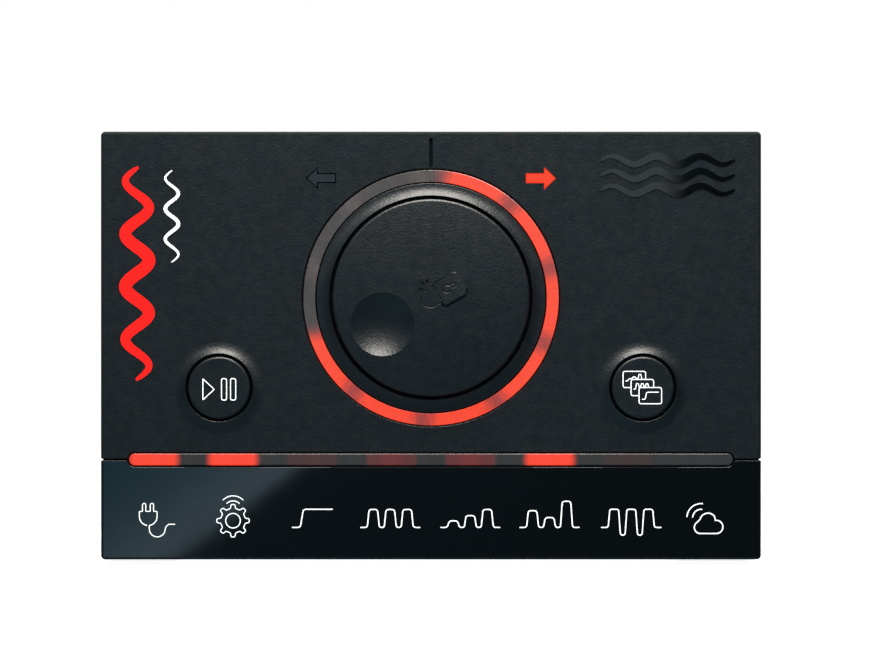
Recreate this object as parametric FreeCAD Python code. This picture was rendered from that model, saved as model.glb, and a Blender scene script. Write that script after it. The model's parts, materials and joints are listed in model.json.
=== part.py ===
"""Wall-hung controller for an aquarium wave-maker pump.

A flat box with a big finger dial, a ring of lights round the dial, two push buttons, two direction arrows,
a bar of eight lights and a glossy icon strip. It hangs on a wall bracket by a T-slot in its back, and its
power and pump sockets face down in a bay at the back of its underside.

Millimetres. +X is to the right of someone facing the controller, +Y goes from its face to the wall, +Z is up.
The origin is on the wall plane, at the centre of the bracket's screw pattern, on the axis of the dial.
"""

import FreeCAD
import Part
import math
import os

from FreeCAD import Vector

# ---------------------------------------------------------------- driving dimensions

FACE_WIDTH = 120.0
FACE_HEIGHT = 77.8
BODY_DEPTH = 31.0  # wall plane to face
DIAL_ABOVE_MIDDLE = 8.7  # the dial's axis above the middle of the face
CORNER_RADIUS = 0.8
EDGE_FILLET = 0.45  # round the face and the back
WALL = 2.2
PLATE = 2.8  # thickness of the front plates
SKIRT = 8.0  # how far the front pieces wrap round the sides
BACK_GAP = 0.6  # the case's back stands off the wall by this
PART_GAP = 0.1  # between the two front pieces
PART_BEVEL = 0.2  # along the parting line on the face
NOTCH_DEPTH = 0.5  # notches at the parting line's two outer ends
NOTCH_RISE = 0.18
SLOT_BEVEL = 0.18  # round the slots for the light ring and bar

STRIP_BELOW_MIDDLE = 20.7  # parting line of the two front pieces, and centre of the light bar
BUTTON_X = 38.5
BUTTON_BELOW_MIDDLE = 7.65
ARROW_X = 20.0
ARROW_ABOVE_MIDDLE = 30.45

SLOT_OUTER_R = 23.42  # annular slot for the light ring
SLOT_INNER_R = 20.85
LIGHT_GAP = 0.2  # dark line round each light guide
ARROW_GAP = 0.2
ZERO_MARK_HALF_WIDTH = 0.36  # V-groove from above the light ring towards the top edge
ZERO_MARK_DEPTH = 0.5
ZERO_MARK_FOOT = 0.4  # above the slot for the light ring
ZERO_MARK_TOP = 1.2  # below the top edge
BEZEL_RIM_R = 18.5
BEZEL_HEIGHT = 0.9
BEZEL_FOOT_BEVEL = 0.12
KNOB_R = 17.9
KNOB_EDGE_HEIGHT = 1.9  # knob's edge above the face
KNOB_CROWN = 1.0  # dome of the knob above its edge
KNOB_FILLET = 0.45
KNOB_REST_ANGLE = 241.2  # the dimple, clockwise from the top
DIMPLE_AT_R = 10.52
DIMPLE_R = 5.9
DIMPLE_DEPTH = 2.0
LOCK_RISE = 0.02  # the padlock's tilted plate: its middle is proud of the knob by this
LOCK_TILT = 3.0
LOCK_NOD = 1.4
LOCK_FILLET = 0.2
LOCK_CHANNEL_WIDTH = 0.38  # deep groove along the plate's proud side
LOCK_CHANNEL_DEPTH = 0.6
LOCK_CHANNEL_END_X = -1.7
GROOVE_R = 0.2  # section of the fine round-bottomed grooves that draw the rest of the padlock
GROOVE_LIFT = 0.08  # centre of that section in front of the surface
RAY_SINK = 0.08  # centre of the three rays' section behind the surface
LOCK_X = (-2.55, 2.2)
LOCK_HALF_LENGTH = 2.4
LOCK_MIDDLE_Z = -3.8

BUTTON_HOLE_R = 6.16
BUTTON_R = 5.65
BUTTON_FOOT_R = 8.35
BUTTON_RISE = 0.8

BAR_HALF_LENGTH = 55.1  # slot for the light bar
BAR_HALF_HEIGHT = 1.28
BAR_PITCH = 14.4
BAR_LIGHTS = 8
BAR_WINDOW = 9.6  # lit length of each light in the bar
RING_LIGHTS = 10
RING_FIRST_ANGLE = 21.0  # first ring light, clockwise from the top

BRACKET_WIDTH = 40.0
BRACKET_HEIGHT = 36.0
SPINE_WIDTH = 28.0
SPINE_DEPTH = 2.6
WING_DEPTH = 2.4
BRACKET_CLEARANCE = 0.3
WALL_HOLE_R = 2.1
WALL_HOLE_X = 9.0
WALL_HOLE_Z = 12.0

BAY_HALF_WIDTH = 46.0
BAY_HEIGHT = 14.6
BAY_FRONT_Y = -18.0
SOCKET_Y = -10.2
SOCKET_X = 35.0
LABEL_X = (27.0, 55.5)
LABEL_Z = (-15.0, 15.0)

CASE_SCREWS = [(side * 52.5, z) for side in (-1, 1) for z in (22.9, -22.9, -40.3)]
BOARD_SCREWS = [(side * x, z) for side in (-1, 1) for x, z in ((46.0, 10.0), (28.5, -21.5))]
DRIVER_SCREWS = [(side * x, z) for side in (-1, 1) for x, z in ((36.0, 21.0), (24.5, -11.0))]

# ---------------------------------------------------------------- worked-out places

FACE_Y = -BODY_DEPTH
PLATE_Y = FACE_Y + PLATE
SKIRT_Y = FACE_Y + SKIRT
BACK_Y = -BACK_GAP
HALF_WIDTH = FACE_WIDTH / 2
MIDDLE_Z = -DIAL_ABOVE_MIDDLE
TOP_Z = MIDDLE_Z + FACE_HEIGHT / 2
BOTTOM_Z = MIDDLE_Z - FACE_HEIGHT / 2
STRIP_Z = MIDDLE_Z - STRIP_BELOW_MIDDLE
BUTTON_Z = MIDDLE_Z - BUTTON_BELOW_MIDDLE
ARROW_Z = MIDDLE_Z + ARROW_ABOVE_MIDDLE
FLANGE = 1.0  # thickness of the light guides' flanges
FLANGE_Y = PLATE_Y + FLANGE
BOARD_Y = -22.0  # front of the main board
BOARD_THICK = 1.6
BOARD_BACK_Y = BOARD_Y + BOARD_THICK
DRIVER_Y = -12.0  # front of the driver board
DRIVER_BACK_Y = DRIVER_Y + BOARD_THICK
BAY_TOP_Z = BOTTOM_Z + BAY_HEIGHT
CEILING_Z = BAY_TOP_Z + WALL
BRACKET_FRONT_Y = -(SPINE_DEPTH + WING_DEPTH)
RIM_Y = FACE_Y - BEZEL_HEIGHT
WELL_FLOOR_Y = -27.4
WELL_FLOOR = 1.0
BOSS_END_Y = -20.0
COLUMN_SEAT_Y = -12.0  # seat of the case screws' heads
KNOB_EDGE_Y = FACE_Y - KNOB_EDGE_HEIGHT
KNOB_TOP_Y = KNOB_EDGE_Y - KNOB_CROWN
SKIRT_END_Y = -28.6  # open end of the knob's skirt
ENCODER_FRONT_Y = -26.2
TONGUE = 1.8  # lip of the rear case inside the front pieces
TONGUE_Y = -26.2
FIT = 0.1

# ---------------------------------------------------------------- basic solids


def box(x, y, z):
    """A box from three (low, high) pairs."""
    return Part.makeBox(x[1] - x[0], y[1] - y[0], z[1] - z[0], Vector(x[0], y[0], z[0]))


def rod(x, z, radius, y):
    """A cylinder along Y."""
    return Part.makeCylinder(radius, y[1] - y[0], Vector(x, y[0], z), Vector(0, 1, 0))


def tube(x, z, inner, outer, y):
    return rod(x, z, outer, y).cut(rod(x, z, inner, (y[0] - 1, y[1] + 1)))


def post(x, y, radius, z):
    """A cylinder along Z."""
    return Part.makeCylinder(radius, z[1] - z[0], Vector(x, y, z[0]), Vector(0, 0, 1))


def cut_all(shape, tools):
    return shape.cut(list(tools))


def fuse_all(shapes):
    shapes = list(shapes)
    return shapes[0].fuse(shapes[1:]).removeSplitter() if len(shapes) > 1 else shapes[0]


def edges_along_y(shape, chosen):
    """The straight edges along Y whose (x, z) passes the test."""
    found = []
    for edge in shape.Edges:
        a, b = edge.Vertexes[0].Point, edge.Vertexes[-1].Point
        if abs(a.x - b.x) < 1e-6 and abs(a.z - b.z) < 1e-6 and chosen(a.x, a.z):
            found.append(edge)
    return found


def edges_on_plane(shape, y, chosen=lambda x, z: True):
    """The edges that lie in the plane at y and whose middle passes the test."""
    found = []
    for edge in shape.Edges:
        middle = edge.valueAt((edge.FirstParameter + edge.LastParameter) / 2)
        points = [v.Point for v in edge.Vertexes] + [middle]
        if all(abs(p.y - y) < 1e-6 for p in points) and chosen(middle.x, middle.z):
            found.append(edge)
    return found


def outline_prism(edges, y):
    """A closed outline of edges drawn in the plane y = 0, extruded over a (low, high) pair of y."""
    face = Part.Face(Part.Wire(edges))
    prism = face.extrude(Vector(0, y[1] - y[0], 0))
    prism.translate(Vector(0, y[0], 0))
    return prism if prism.Volume > 0 else prism.reversed()


def polygon_prism(points, y):
    corners = [Vector(x, 0, z) for x, z in points]
    edges = [Part.LineSegment(a, b).toShape() for a, b in zip(corners, corners[1:] + corners[:1])]
    return outline_prism(edges, y)


def stadium(half_length, half_height, z, y):
    """A bar with round ends, centred on x = 0."""
    straight = half_length - half_height
    middle = box((-straight, straight), y, (z - half_height, z + half_height))
    return fuse_all([middle, rod(-straight, z, half_height, y), rod(straight, z, half_height, y)])


def rounded_plate(x, z, radius, y):
    plate = box(x, y, z)
    return plate.makeFillet(radius, edges_along_y(plate, lambda *_: True))


def bar_along_x(points, x):
    """A prism along X from the (y, z) corners of its section."""
    corners = [Vector(x[0], y, z) for y, z in points]
    section = Part.Face(Part.makePolygon(corners + corners[:1]))
    return section.extrude(Vector(x[1] - x[0], 0, 0))


def line(a, b):
    return Part.LineSegment(Vector(a[0], a[1], 0), Vector(b[0], b[1], 0)).toShape()


def arc(a, middle, b):
    return Part.Arc(*(Vector(p[0], p[1], 0) for p in (a, middle, b))).toShape()


def turned(edges, x=0.0, z=0.0):
    """A closed profile of edges in (radius, y), turned about the axis along Y through (x, z)."""
    solid = Part.Face(Part.Wire(edges)).revolve(Vector(0, 0, 0), Vector(0, 1, 0), 360)
    solid = Part.makeSolid(solid) if solid.ShapeType == "Shell" else solid
    solid.translate(Vector(x, 0, z))
    return solid if solid.Volume > 0 else solid.reversed()


def turned_polygon(points, x=0.0, z=0.0):
    return turned([line(a, b) for a, b in zip(points, points[1:] + points[:1])], x, z)


def hexagon_nut(x, y, across_flats, bore, z):
    """A hexagon nut whose axis is along Z, with two flats facing the wall and the face."""
    corner = across_flats / math.sqrt(3)
    points = [Vector(x + corner * math.cos(math.radians(a)), y + corner * math.sin(math.radians(a)), z[0])
              for a in range(0, 360, 60)]
    blank = Part.Face(Part.makePolygon(points + points[:1])).extrude(Vector(0, 0, z[1] - z[0]))
    return blank.cut(post(x, y, bore, (z[0] - 1, z[1] + 1)))


def on_circle(radius, degrees):
    """(x, z) at that radius from the dial's axis, clockwise from the top."""
    return radius * math.sin(math.radians(degrees)), radius * math.cos(math.radians(degrees))


def turn_about_dial(shape, degrees):
    """Turns a shape about the dial's axis, clockwise as seen from the front."""
    shape.rotate(Vector(0, 0, 0), Vector(0, 1, 0), degrees)
    return shape


def flare_arc(foot_r, rim_r, height):
    """A concave arc that leaves the face level at foot_r and climbs to height at rim_r."""
    reach = foot_r - rim_r
    radius = (reach**2 + height**2) / (2 * height)
    half = math.asin(reach / radius) / 2
    middle = (foot_r - radius * math.sin(half), FACE_Y - radius * (1 - math.cos(half)))
    return arc((foot_r, FACE_Y), middle, (rim_r, FACE_Y - height))


def pan_head_screw(x, z, shank_r, head_r, seat_y, head, length):
    """A screw whose head lies behind seat_y and whose shank points at the face, with a cross recess."""
    shank = rod(x, z, shank_r, (seat_y - length, seat_y))
    screw = fuse_all([rod(x, z, head_r, (seat_y, seat_y + head)), shank])
    rim = edges_on_plane(screw, seat_y + head)
    screw = screw.makeFillet(head * 0.4, rim)
    depth = (seat_y + head * 0.4, seat_y + head + 1)
    arm = head_r * 0.6
    slot = head_r * 0.12
    cross = [box((x - arm, x + arm), depth, (z - slot, z + slot)),
             box((x - slot, x + slot), depth, (z - arm, z + arm))]
    return cut_all(screw, cross)


# ---------------------------------------------------------------- wall bracket


def wall_bracket():
    z = (-BRACKET_HEIGHT / 2, BRACKET_HEIGHT / 2)
    spine = box((-SPINE_WIDTH / 2, SPINE_WIDTH / 2), (-SPINE_DEPTH, 0), z)
    wings = box((-BRACKET_WIDTH / 2, BRACKET_WIDTH / 2), (BRACKET_FRONT_Y, -SPINE_DEPTH), z)
    lead_in = 3.0
    wings = wings.makeChamfer(lead_in, edges_along_y(wings, lambda x, z: z > 0))
    bracket = fuse_all([spine, wings])
    sink_r = 4.3
    sink = sink_r - WALL_HOLE_R
    tools = []
    for x in (-WALL_HOLE_X, WALL_HOLE_X):
        for z in (-WALL_HOLE_Z, WALL_HOLE_Z):
            tools.append(rod(x, z, WALL_HOLE_R, (BRACKET_FRONT_Y - 1, 1)))
            mouth = Vector(x, BRACKET_FRONT_Y, z)
            tools.append(Part.makeCone(sink_r, WALL_HOLE_R, sink, mouth, Vector(0, 1, 0)))
    # a weight-saving window between the screws
    tools.append(rounded_plate((-5.0, 5.0), (-8.0, 8.0), 2.0, (BRACKET_FRONT_Y - 1, 1)))
    return cut_all(bracket, tools)


# ---------------------------------------------------------------- case shells


def front_shell(low_z, high_z, closed_top):
    """One of the two front pieces: a plate with a skirt on three sides."""
    edge_z = high_z if closed_top else low_z
    shell = box((-HALF_WIDTH, HALF_WIDTH), (FACE_Y, SKIRT_Y), (low_z, high_z))
    shell = shell.makeFillet(CORNER_RADIUS, edges_along_y(shell, lambda x, z: abs(z - edge_z) < 1e-6))
    parting_z = low_z if closed_top else high_z
    outer = edges_on_plane(shell, FACE_Y, lambda x, z: abs(z - parting_z) > 1e-3)
    shell = shell.makeFillet(EDGE_FILLET, outer)
    inner_low = low_z - 1 if closed_top else low_z + WALL
    inner_high = high_z - WALL if closed_top else high_z + 1
    inside = box((-HALF_WIDTH + WALL, HALF_WIDTH - WALL), (PLATE_Y, SKIRT_Y + 1), (inner_low, inner_high))
    return shell.cut(inside)


def parting_relief(parting_z, inward):
    """Cutters for the bevel along the parting edge and the small notches at its ends."""
    bevel_z = parting_z + inward * PART_BEVEL
    bevel = bar_along_x([(FACE_Y, bevel_z), (FACE_Y + PART_BEVEL, parting_z), (FACE_Y - 1, parting_z)],
                        (-HALF_WIDTH - 1, HALF_WIDTH + 1))
    notch_z = parting_z + inward * NOTCH_RISE
    notches = []
    for side in (-1, 1):
        x = side * HALF_WIDTH
        corners = [(x, notch_z), (x, parting_z), (x - side * NOTCH_DEPTH, parting_z)]
        notches.append(polygon_prism(corners, (FACE_Y - 1, SKIRT_Y + 1)))
    return [bevel] + notches


def near_bar_slot(x, z):
    return abs(x) < BAR_HALF_LENGTH + 0.01 and abs(z - STRIP_Z) < BAR_HALF_HEIGHT + 0.01


def near_a_light_slot(x, z):
    return near_bar_slot(x, z) or math.hypot(x, z) < SLOT_OUTER_R + 0.01


def screw_boss(x, z):
    return rod(x, z, 3.0, (PLATE_Y - 0.5, BOSS_END_Y))


def boss_bore(x, z):
    return rod(x, z, 1.55, (BOSS_END_Y - 6.5, BOSS_END_Y + 1))


def arrow_outline(side, inset=0.0):
    """Corners of a direction arrow that points to the given side, drawn in all round by the inset."""
    tip, neck, tail, half_head, half_shaft = 2.75, 0.55, -2.75, 2.1, 0.92
    slope = half_head / (tip - neck)
    tip -= inset * math.hypot(1, slope) / slope
    neck += inset
    tail += inset
    half_head = slope * (tip - neck)
    half_shaft -= inset
    points = [(tip, 0), (neck, half_head), (neck, half_shaft), (tail, half_shaft),
              (tail, -half_shaft), (neck, -half_shaft), (neck, -half_head)]
    return [(side * (ARROW_X + x), ARROW_Z + z) for x, z in points]


def button_collar(side):
    """A flared ring that rises from the face round a button."""
    corner = 0.12
    rim_y = FACE_Y - BUTTON_RISE
    root_y = FACE_Y + 0.5
    edges = [
        flare_arc(BUTTON_FOOT_R, BUTTON_HOLE_R + corner, BUTTON_RISE),
        arc((BUTTON_HOLE_R + corner, rim_y),
            (BUTTON_HOLE_R + corner * (1 - math.sqrt(0.5)), rim_y + corner * (1 - math.sqrt(0.5))),
            (BUTTON_HOLE_R, rim_y + corner)),
        line((BUTTON_HOLE_R, rim_y + corner), (BUTTON_HOLE_R, root_y)),
        line((BUTTON_HOLE_R, root_y), (BUTTON_FOOT_R, root_y)),
        line((BUTTON_FOOT_R, root_y), (BUTTON_FOOT_R, FACE_Y)),
    ]
    return turned(edges, side * BUTTON_X, BUTTON_Z)


def zero_mark():
    """A cutter for the V-groove above the light ring."""
    low_z, high_z = SLOT_OUTER_R + ZERO_MARK_FOOT, TOP_Z - ZERO_MARK_TOP
    half = ZERO_MARK_HALF_WIDTH
    open_y = FACE_Y - 1
    tip_y = FACE_Y + ZERO_MARK_DEPTH
    section = [(-half, open_y), (-half, FACE_Y), (0, tip_y), (half, FACE_Y), (half, open_y)]
    corners = [Vector(x, y, low_z) for x, y in section]
    return Part.Face(Part.makePolygon(corners + corners[:1])).extrude(Vector(0, 0, high_z - low_z))


def front_cover():
    shell = front_shell(STRIP_Z + PART_GAP / 2, TOP_Z, True)
    upper_bosses = [(x, z) for x, z in CASE_SCREWS if z > STRIP_Z]
    bosses = [screw_boss(x, z) for x, z in upper_bosses]
    board_posts = [rod(x, z, 2.6, (PLATE_Y - 0.5, BOARD_Y)) for x, z in BOARD_SCREWS]
    shell = fuse_all([shell] + bosses + board_posts)
    through = (FACE_Y - 5, PLATE_Y + 1)
    slots = [rod(0, 0, SLOT_OUTER_R, through), stadium(BAR_HALF_LENGTH, BAR_HALF_HEIGHT, STRIP_Z, through)]
    shell = cut_all(shell, slots)
    shell = shell.makeChamfer(SLOT_BEVEL, edges_on_plane(shell, FACE_Y, near_a_light_slot))
    tools = parting_relief(STRIP_Z + PART_GAP / 2, 1)
    tools += [polygon_prism(arrow_outline(side), through) for side in (-1, 1)]
    tools += [rod(side * BUTTON_X, BUTTON_Z, BUTTON_HOLE_R, through) for side in (-1, 1)]
    tools.append(zero_mark())
    tools += [boss_bore(x, z) for x, z in upper_bosses]
    tools += [rod(x, z, 1.05, (BOARD_Y - 4.5, BOARD_Y + 1)) for x, z in BOARD_SCREWS]
    return fuse_all([cut_all(shell, tools)] + [button_collar(side) for side in (-1, 1)])


def icon_panel():
    shell = front_shell(BOTTOM_Z, STRIP_Z - PART_GAP / 2, False)
    lower_bosses = [(x, z) for x, z in CASE_SCREWS if z < STRIP_Z]
    shell = fuse_all([shell] + [screw_boss(x, z) for x, z in lower_bosses])
    shell = shell.cut(stadium(BAR_HALF_LENGTH, BAR_HALF_HEIGHT, STRIP_Z, (FACE_Y - 1, PLATE_Y + 1)))
    shell = shell.makeChamfer(SLOT_BEVEL, edges_on_plane(shell, FACE_Y, near_bar_slot))
    tools = parting_relief(STRIP_Z - PART_GAP / 2, -1)
    tools += [boss_bore(x, z) for x, z in lower_bosses]
    return cut_all(shell, tools)


def tongue_frame(outset, width, y):
    """A rectangular frame just inside the skirt: outset is its gap to the skirt."""
    x = HALF_WIDTH - WALL - outset
    low, high = BOTTOM_Z + WALL + outset, TOP_Z - WALL - outset
    outer = box((-x, x), y, (low, high))
    inner = box((-x + width, x - width), (y[0] - 1, y[1] + 1), (low + width, high - width))
    return outer.cut(inner)


def rear_case():
    block = box((-HALF_WIDTH, HALF_WIDTH), (SKIRT_Y, BACK_Y), (BOTTOM_Z, TOP_Z))
    block = block.makeFillet(CORNER_RADIUS, edges_along_y(block, lambda *_: True))
    block = block.makeFillet(EDGE_FILLET, edges_on_plane(block, BACK_Y))
    inner_x = HALF_WIDTH - WALL
    hollow = box((-inner_x, inner_x), (SKIRT_Y - 1, BACK_Y - WALL), (BOTTOM_Z + WALL, TOP_Z - WALL))
    shell = block.cut(hollow)

    bay_wall = 1.6
    bay_block = box((-BAY_HALF_WIDTH - WALL, BAY_HALF_WIDTH + WALL), (BAY_FRONT_Y - bay_wall, BACK_Y),
                    (BOTTOM_Z + 1, CEILING_Z))
    slot_x = BRACKET_WIDTH / 2 + BRACKET_CLEARANCE
    slot_top = BRACKET_HEIGHT / 2 + 0.05
    pocket_wall = 1.8
    slot_floor_y = BRACKET_FRONT_Y - BRACKET_CLEARANCE
    pocket = box((-slot_x - pocket_wall, slot_x + pocket_wall), (slot_floor_y - pocket_wall, BACK_Y),
                 (BAY_TOP_Z, slot_top + pocket_wall))
    columns = [rod(x, z, 4.4, (BOSS_END_Y + FIT, BACK_Y - 0.5)) for x, z in CASE_SCREWS]
    posts = [rod(x, z, 3.0, (DRIVER_BACK_Y, BACK_Y - 0.5)) for x, z in DRIVER_SCREWS]
    # the lip overlaps the wall behind the skirt's end, so that it is one piece with it
    lip = tongue_frame(FIT, TONGUE, (TONGUE_Y, SKIRT_Y + 1))
    root = tongue_frame(-1, TONGUE + 1 + FIT, (SKIRT_Y, SKIRT_Y + 2))
    shell = fuse_all([shell, bay_block, pocket, lip, root] + columns + posts)

    lips_y = -SPINE_DEPTH + BRACKET_CLEARANCE
    spine_x = SPINE_WIDTH / 2 + BRACKET_CLEARANCE
    tools = [
        box((-BAY_HALF_WIDTH, BAY_HALF_WIDTH), (BAY_FRONT_Y, 1), (BOTTOM_Z - 1, BAY_TOP_Z)),
        box((-slot_x, slot_x), (slot_floor_y, lips_y), (BAY_TOP_Z - 1, slot_top)),
        box((-spine_x, spine_x), (lips_y - 1, 1), (BAY_TOP_Z - 1, slot_top)),
        post(SOCKET_X, SOCKET_Y, 4.1, (BAY_TOP_Z - 1, CEILING_Z + 1)),
        post(-SOCKET_X, SOCKET_Y, 6.1, (BAY_TOP_Z - 1, CEILING_Z + 1)),
        label_plate(0.3, BACK_Y - 0.3),
    ]
    for x, z in CASE_SCREWS:
        tools += [rod(x, z, 3.1, (COLUMN_SEAT_Y, 1)), rod(x, z, 1.7, (BOSS_END_Y - 1, COLUMN_SEAT_Y + 1))]
    tools += [rod(x, z, 1.3, (DRIVER_BACK_Y - 1, BACK_Y - WALL)) for x, z in DRIVER_SCREWS]
    return cut_all(shell, tools)


def label_plate(margin, front_y):
    """The blank rating label's place on the back; a margin makes its recess."""
    x = (LABEL_X[0] - margin, LABEL_X[1] + margin)
    z = (LABEL_Z[0] - margin, LABEL_Z[1] + margin)
    return rounded_plate(x, z, 1.0, (front_y, BACK_Y + 0.5))


def rating_label():
    plate = label_plate(0, BACK_Y - 0.3)
    return plate.common(box((0, HALF_WIDTH), (BACK_Y - 1, BACK_Y - 0.05), (BOTTOM_Z, TOP_Z)))


def case_seal():
    return tongue_frame(FIT, 1.6, (PLATE_Y, TONGUE_Y))


def case_screws():
    return [pan_head_screw(x, z, 1.5, 2.75, COLUMN_SEAT_Y, 2.1, 14.0) for x, z in CASE_SCREWS]


# ---------------------------------------------------------------- dial


def dial_bezel():
    """The flared ring round the knob, with the floor of the well that the knob sits in."""
    corner = 0.1
    part = corner * (1 - math.sqrt(0.5))
    floor_back = WELL_FLOOR_Y + WELL_FLOOR
    hub_hole = 5.4
    edges = [
        flare_arc(SLOT_INNER_R - BEZEL_FOOT_BEVEL, BEZEL_RIM_R + corner, BEZEL_HEIGHT),
        arc((BEZEL_RIM_R + corner, RIM_Y), (BEZEL_RIM_R + part, RIM_Y + part), (BEZEL_RIM_R, RIM_Y + corner)),
        line((BEZEL_RIM_R, RIM_Y + corner), (BEZEL_RIM_R, WELL_FLOOR_Y)),
        line((BEZEL_RIM_R, WELL_FLOOR_Y), (hub_hole, WELL_FLOOR_Y)),
        line((hub_hole, WELL_FLOOR_Y), (hub_hole, floor_back)),
        line((hub_hole, floor_back), (SLOT_INNER_R, floor_back)),
        line((SLOT_INNER_R, floor_back), (SLOT_INNER_R, FACE_Y + BEZEL_FOOT_BEVEL)),
        line((SLOT_INNER_R, FACE_Y + BEZEL_FOOT_BEVEL), (SLOT_INNER_R - BEZEL_FOOT_BEVEL, FACE_Y)),
    ]
    return turned(edges)


def crown_radius():
    """Radius of the sphere that domes the knob's face."""
    return (KNOB_R**2 + KNOB_CROWN**2) / (2 * KNOB_CROWN)


def crown_y(r):
    """The knob's face at that distance from its axis."""
    return KNOB_TOP_Y + crown_radius() - math.sqrt(crown_radius()**2 - r**2)


def crown_ball():
    """The ball that domes the knob's face."""
    return Part.makeSphere(crown_radius(), Vector(0, KNOB_TOP_Y + crown_radius(), 0))


def groove_line(points, y):
    """Cutters for a round-bottomed groove along a polyline in (x, z)."""
    corners = [Vector(x, y, z) for x, z in points]
    tools = [Part.makeSphere(GROOVE_R, corner) for corner in corners]
    for a, b in zip(corners, corners[1:]):
        tools.append(Part.makeCylinder(GROOVE_R, (b - a).Length, a, b - a))
    return tools


def groove_ring(z, radius, y):
    """Cutter for a round-bottomed groove in a circle round x = 0."""
    return Part.makeTorus(radius, GROOVE_R, Vector(0, y, z), Vector(0, 1, 0))


def on_lock_plate(shape):
    """Moves a shape drawn about the plane y = 0 onto the padlock's tilted plate."""
    shape.rotate(Vector(0, 0, 0), Vector(1, 0, 0), -LOCK_NOD)
    shape.rotate(Vector(0, 0, 0), Vector(0, 0, 1), LOCK_TILT)
    shape.translate(Vector(0, crown_y(-LOCK_MIDDLE_Z) - LOCK_RISE, LOCK_MIDDLE_Z))
    return shape


def lock_plate(y, outset=0.0):
    """The outline of the padlock's body, moved out by the outset, as a solid over that range of y."""
    x = (LOCK_X[0] - outset, LOCK_X[1] + outset)
    z = (-LOCK_HALF_LENGTH - outset, LOCK_HALF_LENGTH + outset)
    return rounded_plate(x, z, 0.6 + outset, y)


def lock_channel():
    """Cutter for the deep groove that follows the plate's proud side and its two corners."""
    depth = (-1, LOCK_CHANNEL_DEPTH)
    around = lock_plate(depth, LOCK_CHANNEL_WIDTH).cut(lock_plate((-2, LOCK_CHANNEL_DEPTH + 1)))
    return on_lock_plate(around.common(box((-4, LOCK_CHANNEL_END_X), depth, (-4, 4))))


def lock_body():
    """The body of a padlock drawn upright, with its top towards the dimple; one corner stands proud."""
    body = lock_plate((0, 1.2))
    return on_lock_plate(body.makeFillet(LOCK_FILLET, edges_on_plane(body, 0)))


def bow_grooves():
    """Cutters for the padlock's open bow and three short rays beside its free end."""
    bow_r = 1.7
    bow_z = 0.15
    y = crown_y(bow_r) - GROOVE_LIFT
    bow = groove_ring(bow_z, bow_r, y).common(box((-4, 4), (y - 1, y + 1), (bow_z, bow_z + 4)))
    fixed_leg = groove_line([(-bow_r, LOCK_MIDDLE_Z + LOCK_HALF_LENGTH), (-bow_r, bow_z)], y)
    free_end = groove_line([(bow_r, bow_z)], y)
    tools = [bow] + fixed_leg + free_end
    ray_y = crown_y(bow_r + 1.2) + RAY_SINK
    for degrees in (25, 75, 115):
        ray = [on_ray(bow_r, bow_z - 0.4, degrees, distance) for distance in (0.95, 1.6)]
        tools += groove_line(ray, ray_y)
    return tools


def plate_grooves():
    """Cutters for the outline of the keyhole, and for a line along the plate's edge beside the bow."""
    keyhole_z = 0.5
    ring_r, stem_half = 0.68, 0.3
    stem_end = keyhole_z - 1.8
    y = -GROOVE_LIFT
    mouth = box((-stem_half, stem_half), (y - 1, y + 1), (stem_end, keyhole_z))
    ring = groove_ring(keyhole_z, ring_r, y).cut(mouth)
    stem_top = keyhole_z - math.sqrt(ring_r**2 - stem_half**2)
    corners = [(-stem_half, stem_top), (-stem_half, stem_end), (stem_half, stem_end), (stem_half, stem_top)]
    edge = [(LOCK_X[0] + 0.4, LOCK_HALF_LENGTH), (LOCK_X[1] - 0.6, LOCK_HALF_LENGTH)]
    return [on_lock_plate(tool) for tool in [ring] + groove_line(corners, y) + groove_line(edge, y)]


def on_ray(x, z, degrees, distance):
    """(x, z) at a distance from a point, clockwise from the top."""
    a = math.radians(degrees)
    return x + distance * math.sin(a), z + distance * math.cos(a)


def dial_knob():
    blank_top = KNOB_TOP_Y - 1
    under_y = -31.2
    skirt_inner = 16.2
    hub_r = 4.9
    hub_end = -27.3
    bore_end = -31.3
    outside = [(0, blank_top), (KNOB_R, blank_top), (KNOB_R, SKIRT_END_Y)]
    inside = [(skirt_inner, SKIRT_END_Y), (skirt_inner, under_y)]
    hub = [(hub_r, under_y), (hub_r, hub_end), (0, hub_end)]
    blank = turned_polygon(outside + inside + hub)
    knob = blank.common(crown_ball())
    knob = knob.makeFillet(KNOB_FILLET, edges_on_plane(knob, KNOB_EDGE_Y))
    dimple_sphere_r = (DIMPLE_R**2 + DIMPLE_DEPTH**2) / (2 * DIMPLE_DEPTH)
    dimple_centre_y = crown_y(DIMPLE_AT_R) + DIMPLE_DEPTH - dimple_sphere_r
    ball = Part.makeSphere(dimple_sphere_r, Vector(0, dimple_centre_y, DIMPLE_AT_R))
    # a pad under the dimple keeps the wall there as thick as elsewhere
    pad_depth = 1.2
    pad = rod(0, DIMPLE_AT_R, 5.2, (under_y - 0.5, under_y + pad_depth))
    ribs = [box((-0.6, 0.6), (under_y - 0.3, under_y + pad_depth), (hub_r - 0.5, skirt_inner + 0.3))
            for _ in range(3)]
    ribs = [turn_about_dial(rib, 60 + 120 * i) for i, rib in enumerate(ribs)]
    knob = fuse_all([knob, pad] + ribs)
    knob = fuse_all([cut_all(knob, [ball, on_lock_plate(lock_plate((-1, 0)))]), lock_body()])
    knob = cut_all(knob, [lock_channel()] + bow_grooves() + plate_grooves())
    knob = knob.cut(d_shaft(3.02, (bore_end, hub_end + 1)))
    return turn_about_dial(knob, KNOB_REST_ANGLE)


def d_shaft(radius, y):
    """A round shaft with a flat on the side of the dimple."""
    flat = radius - 1.5
    return rod(0, 0, radius, y).cut(box((-5, 5), (y[0] - 1, y[1] + 1), (radius - flat + 0.1, 5)))


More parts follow.
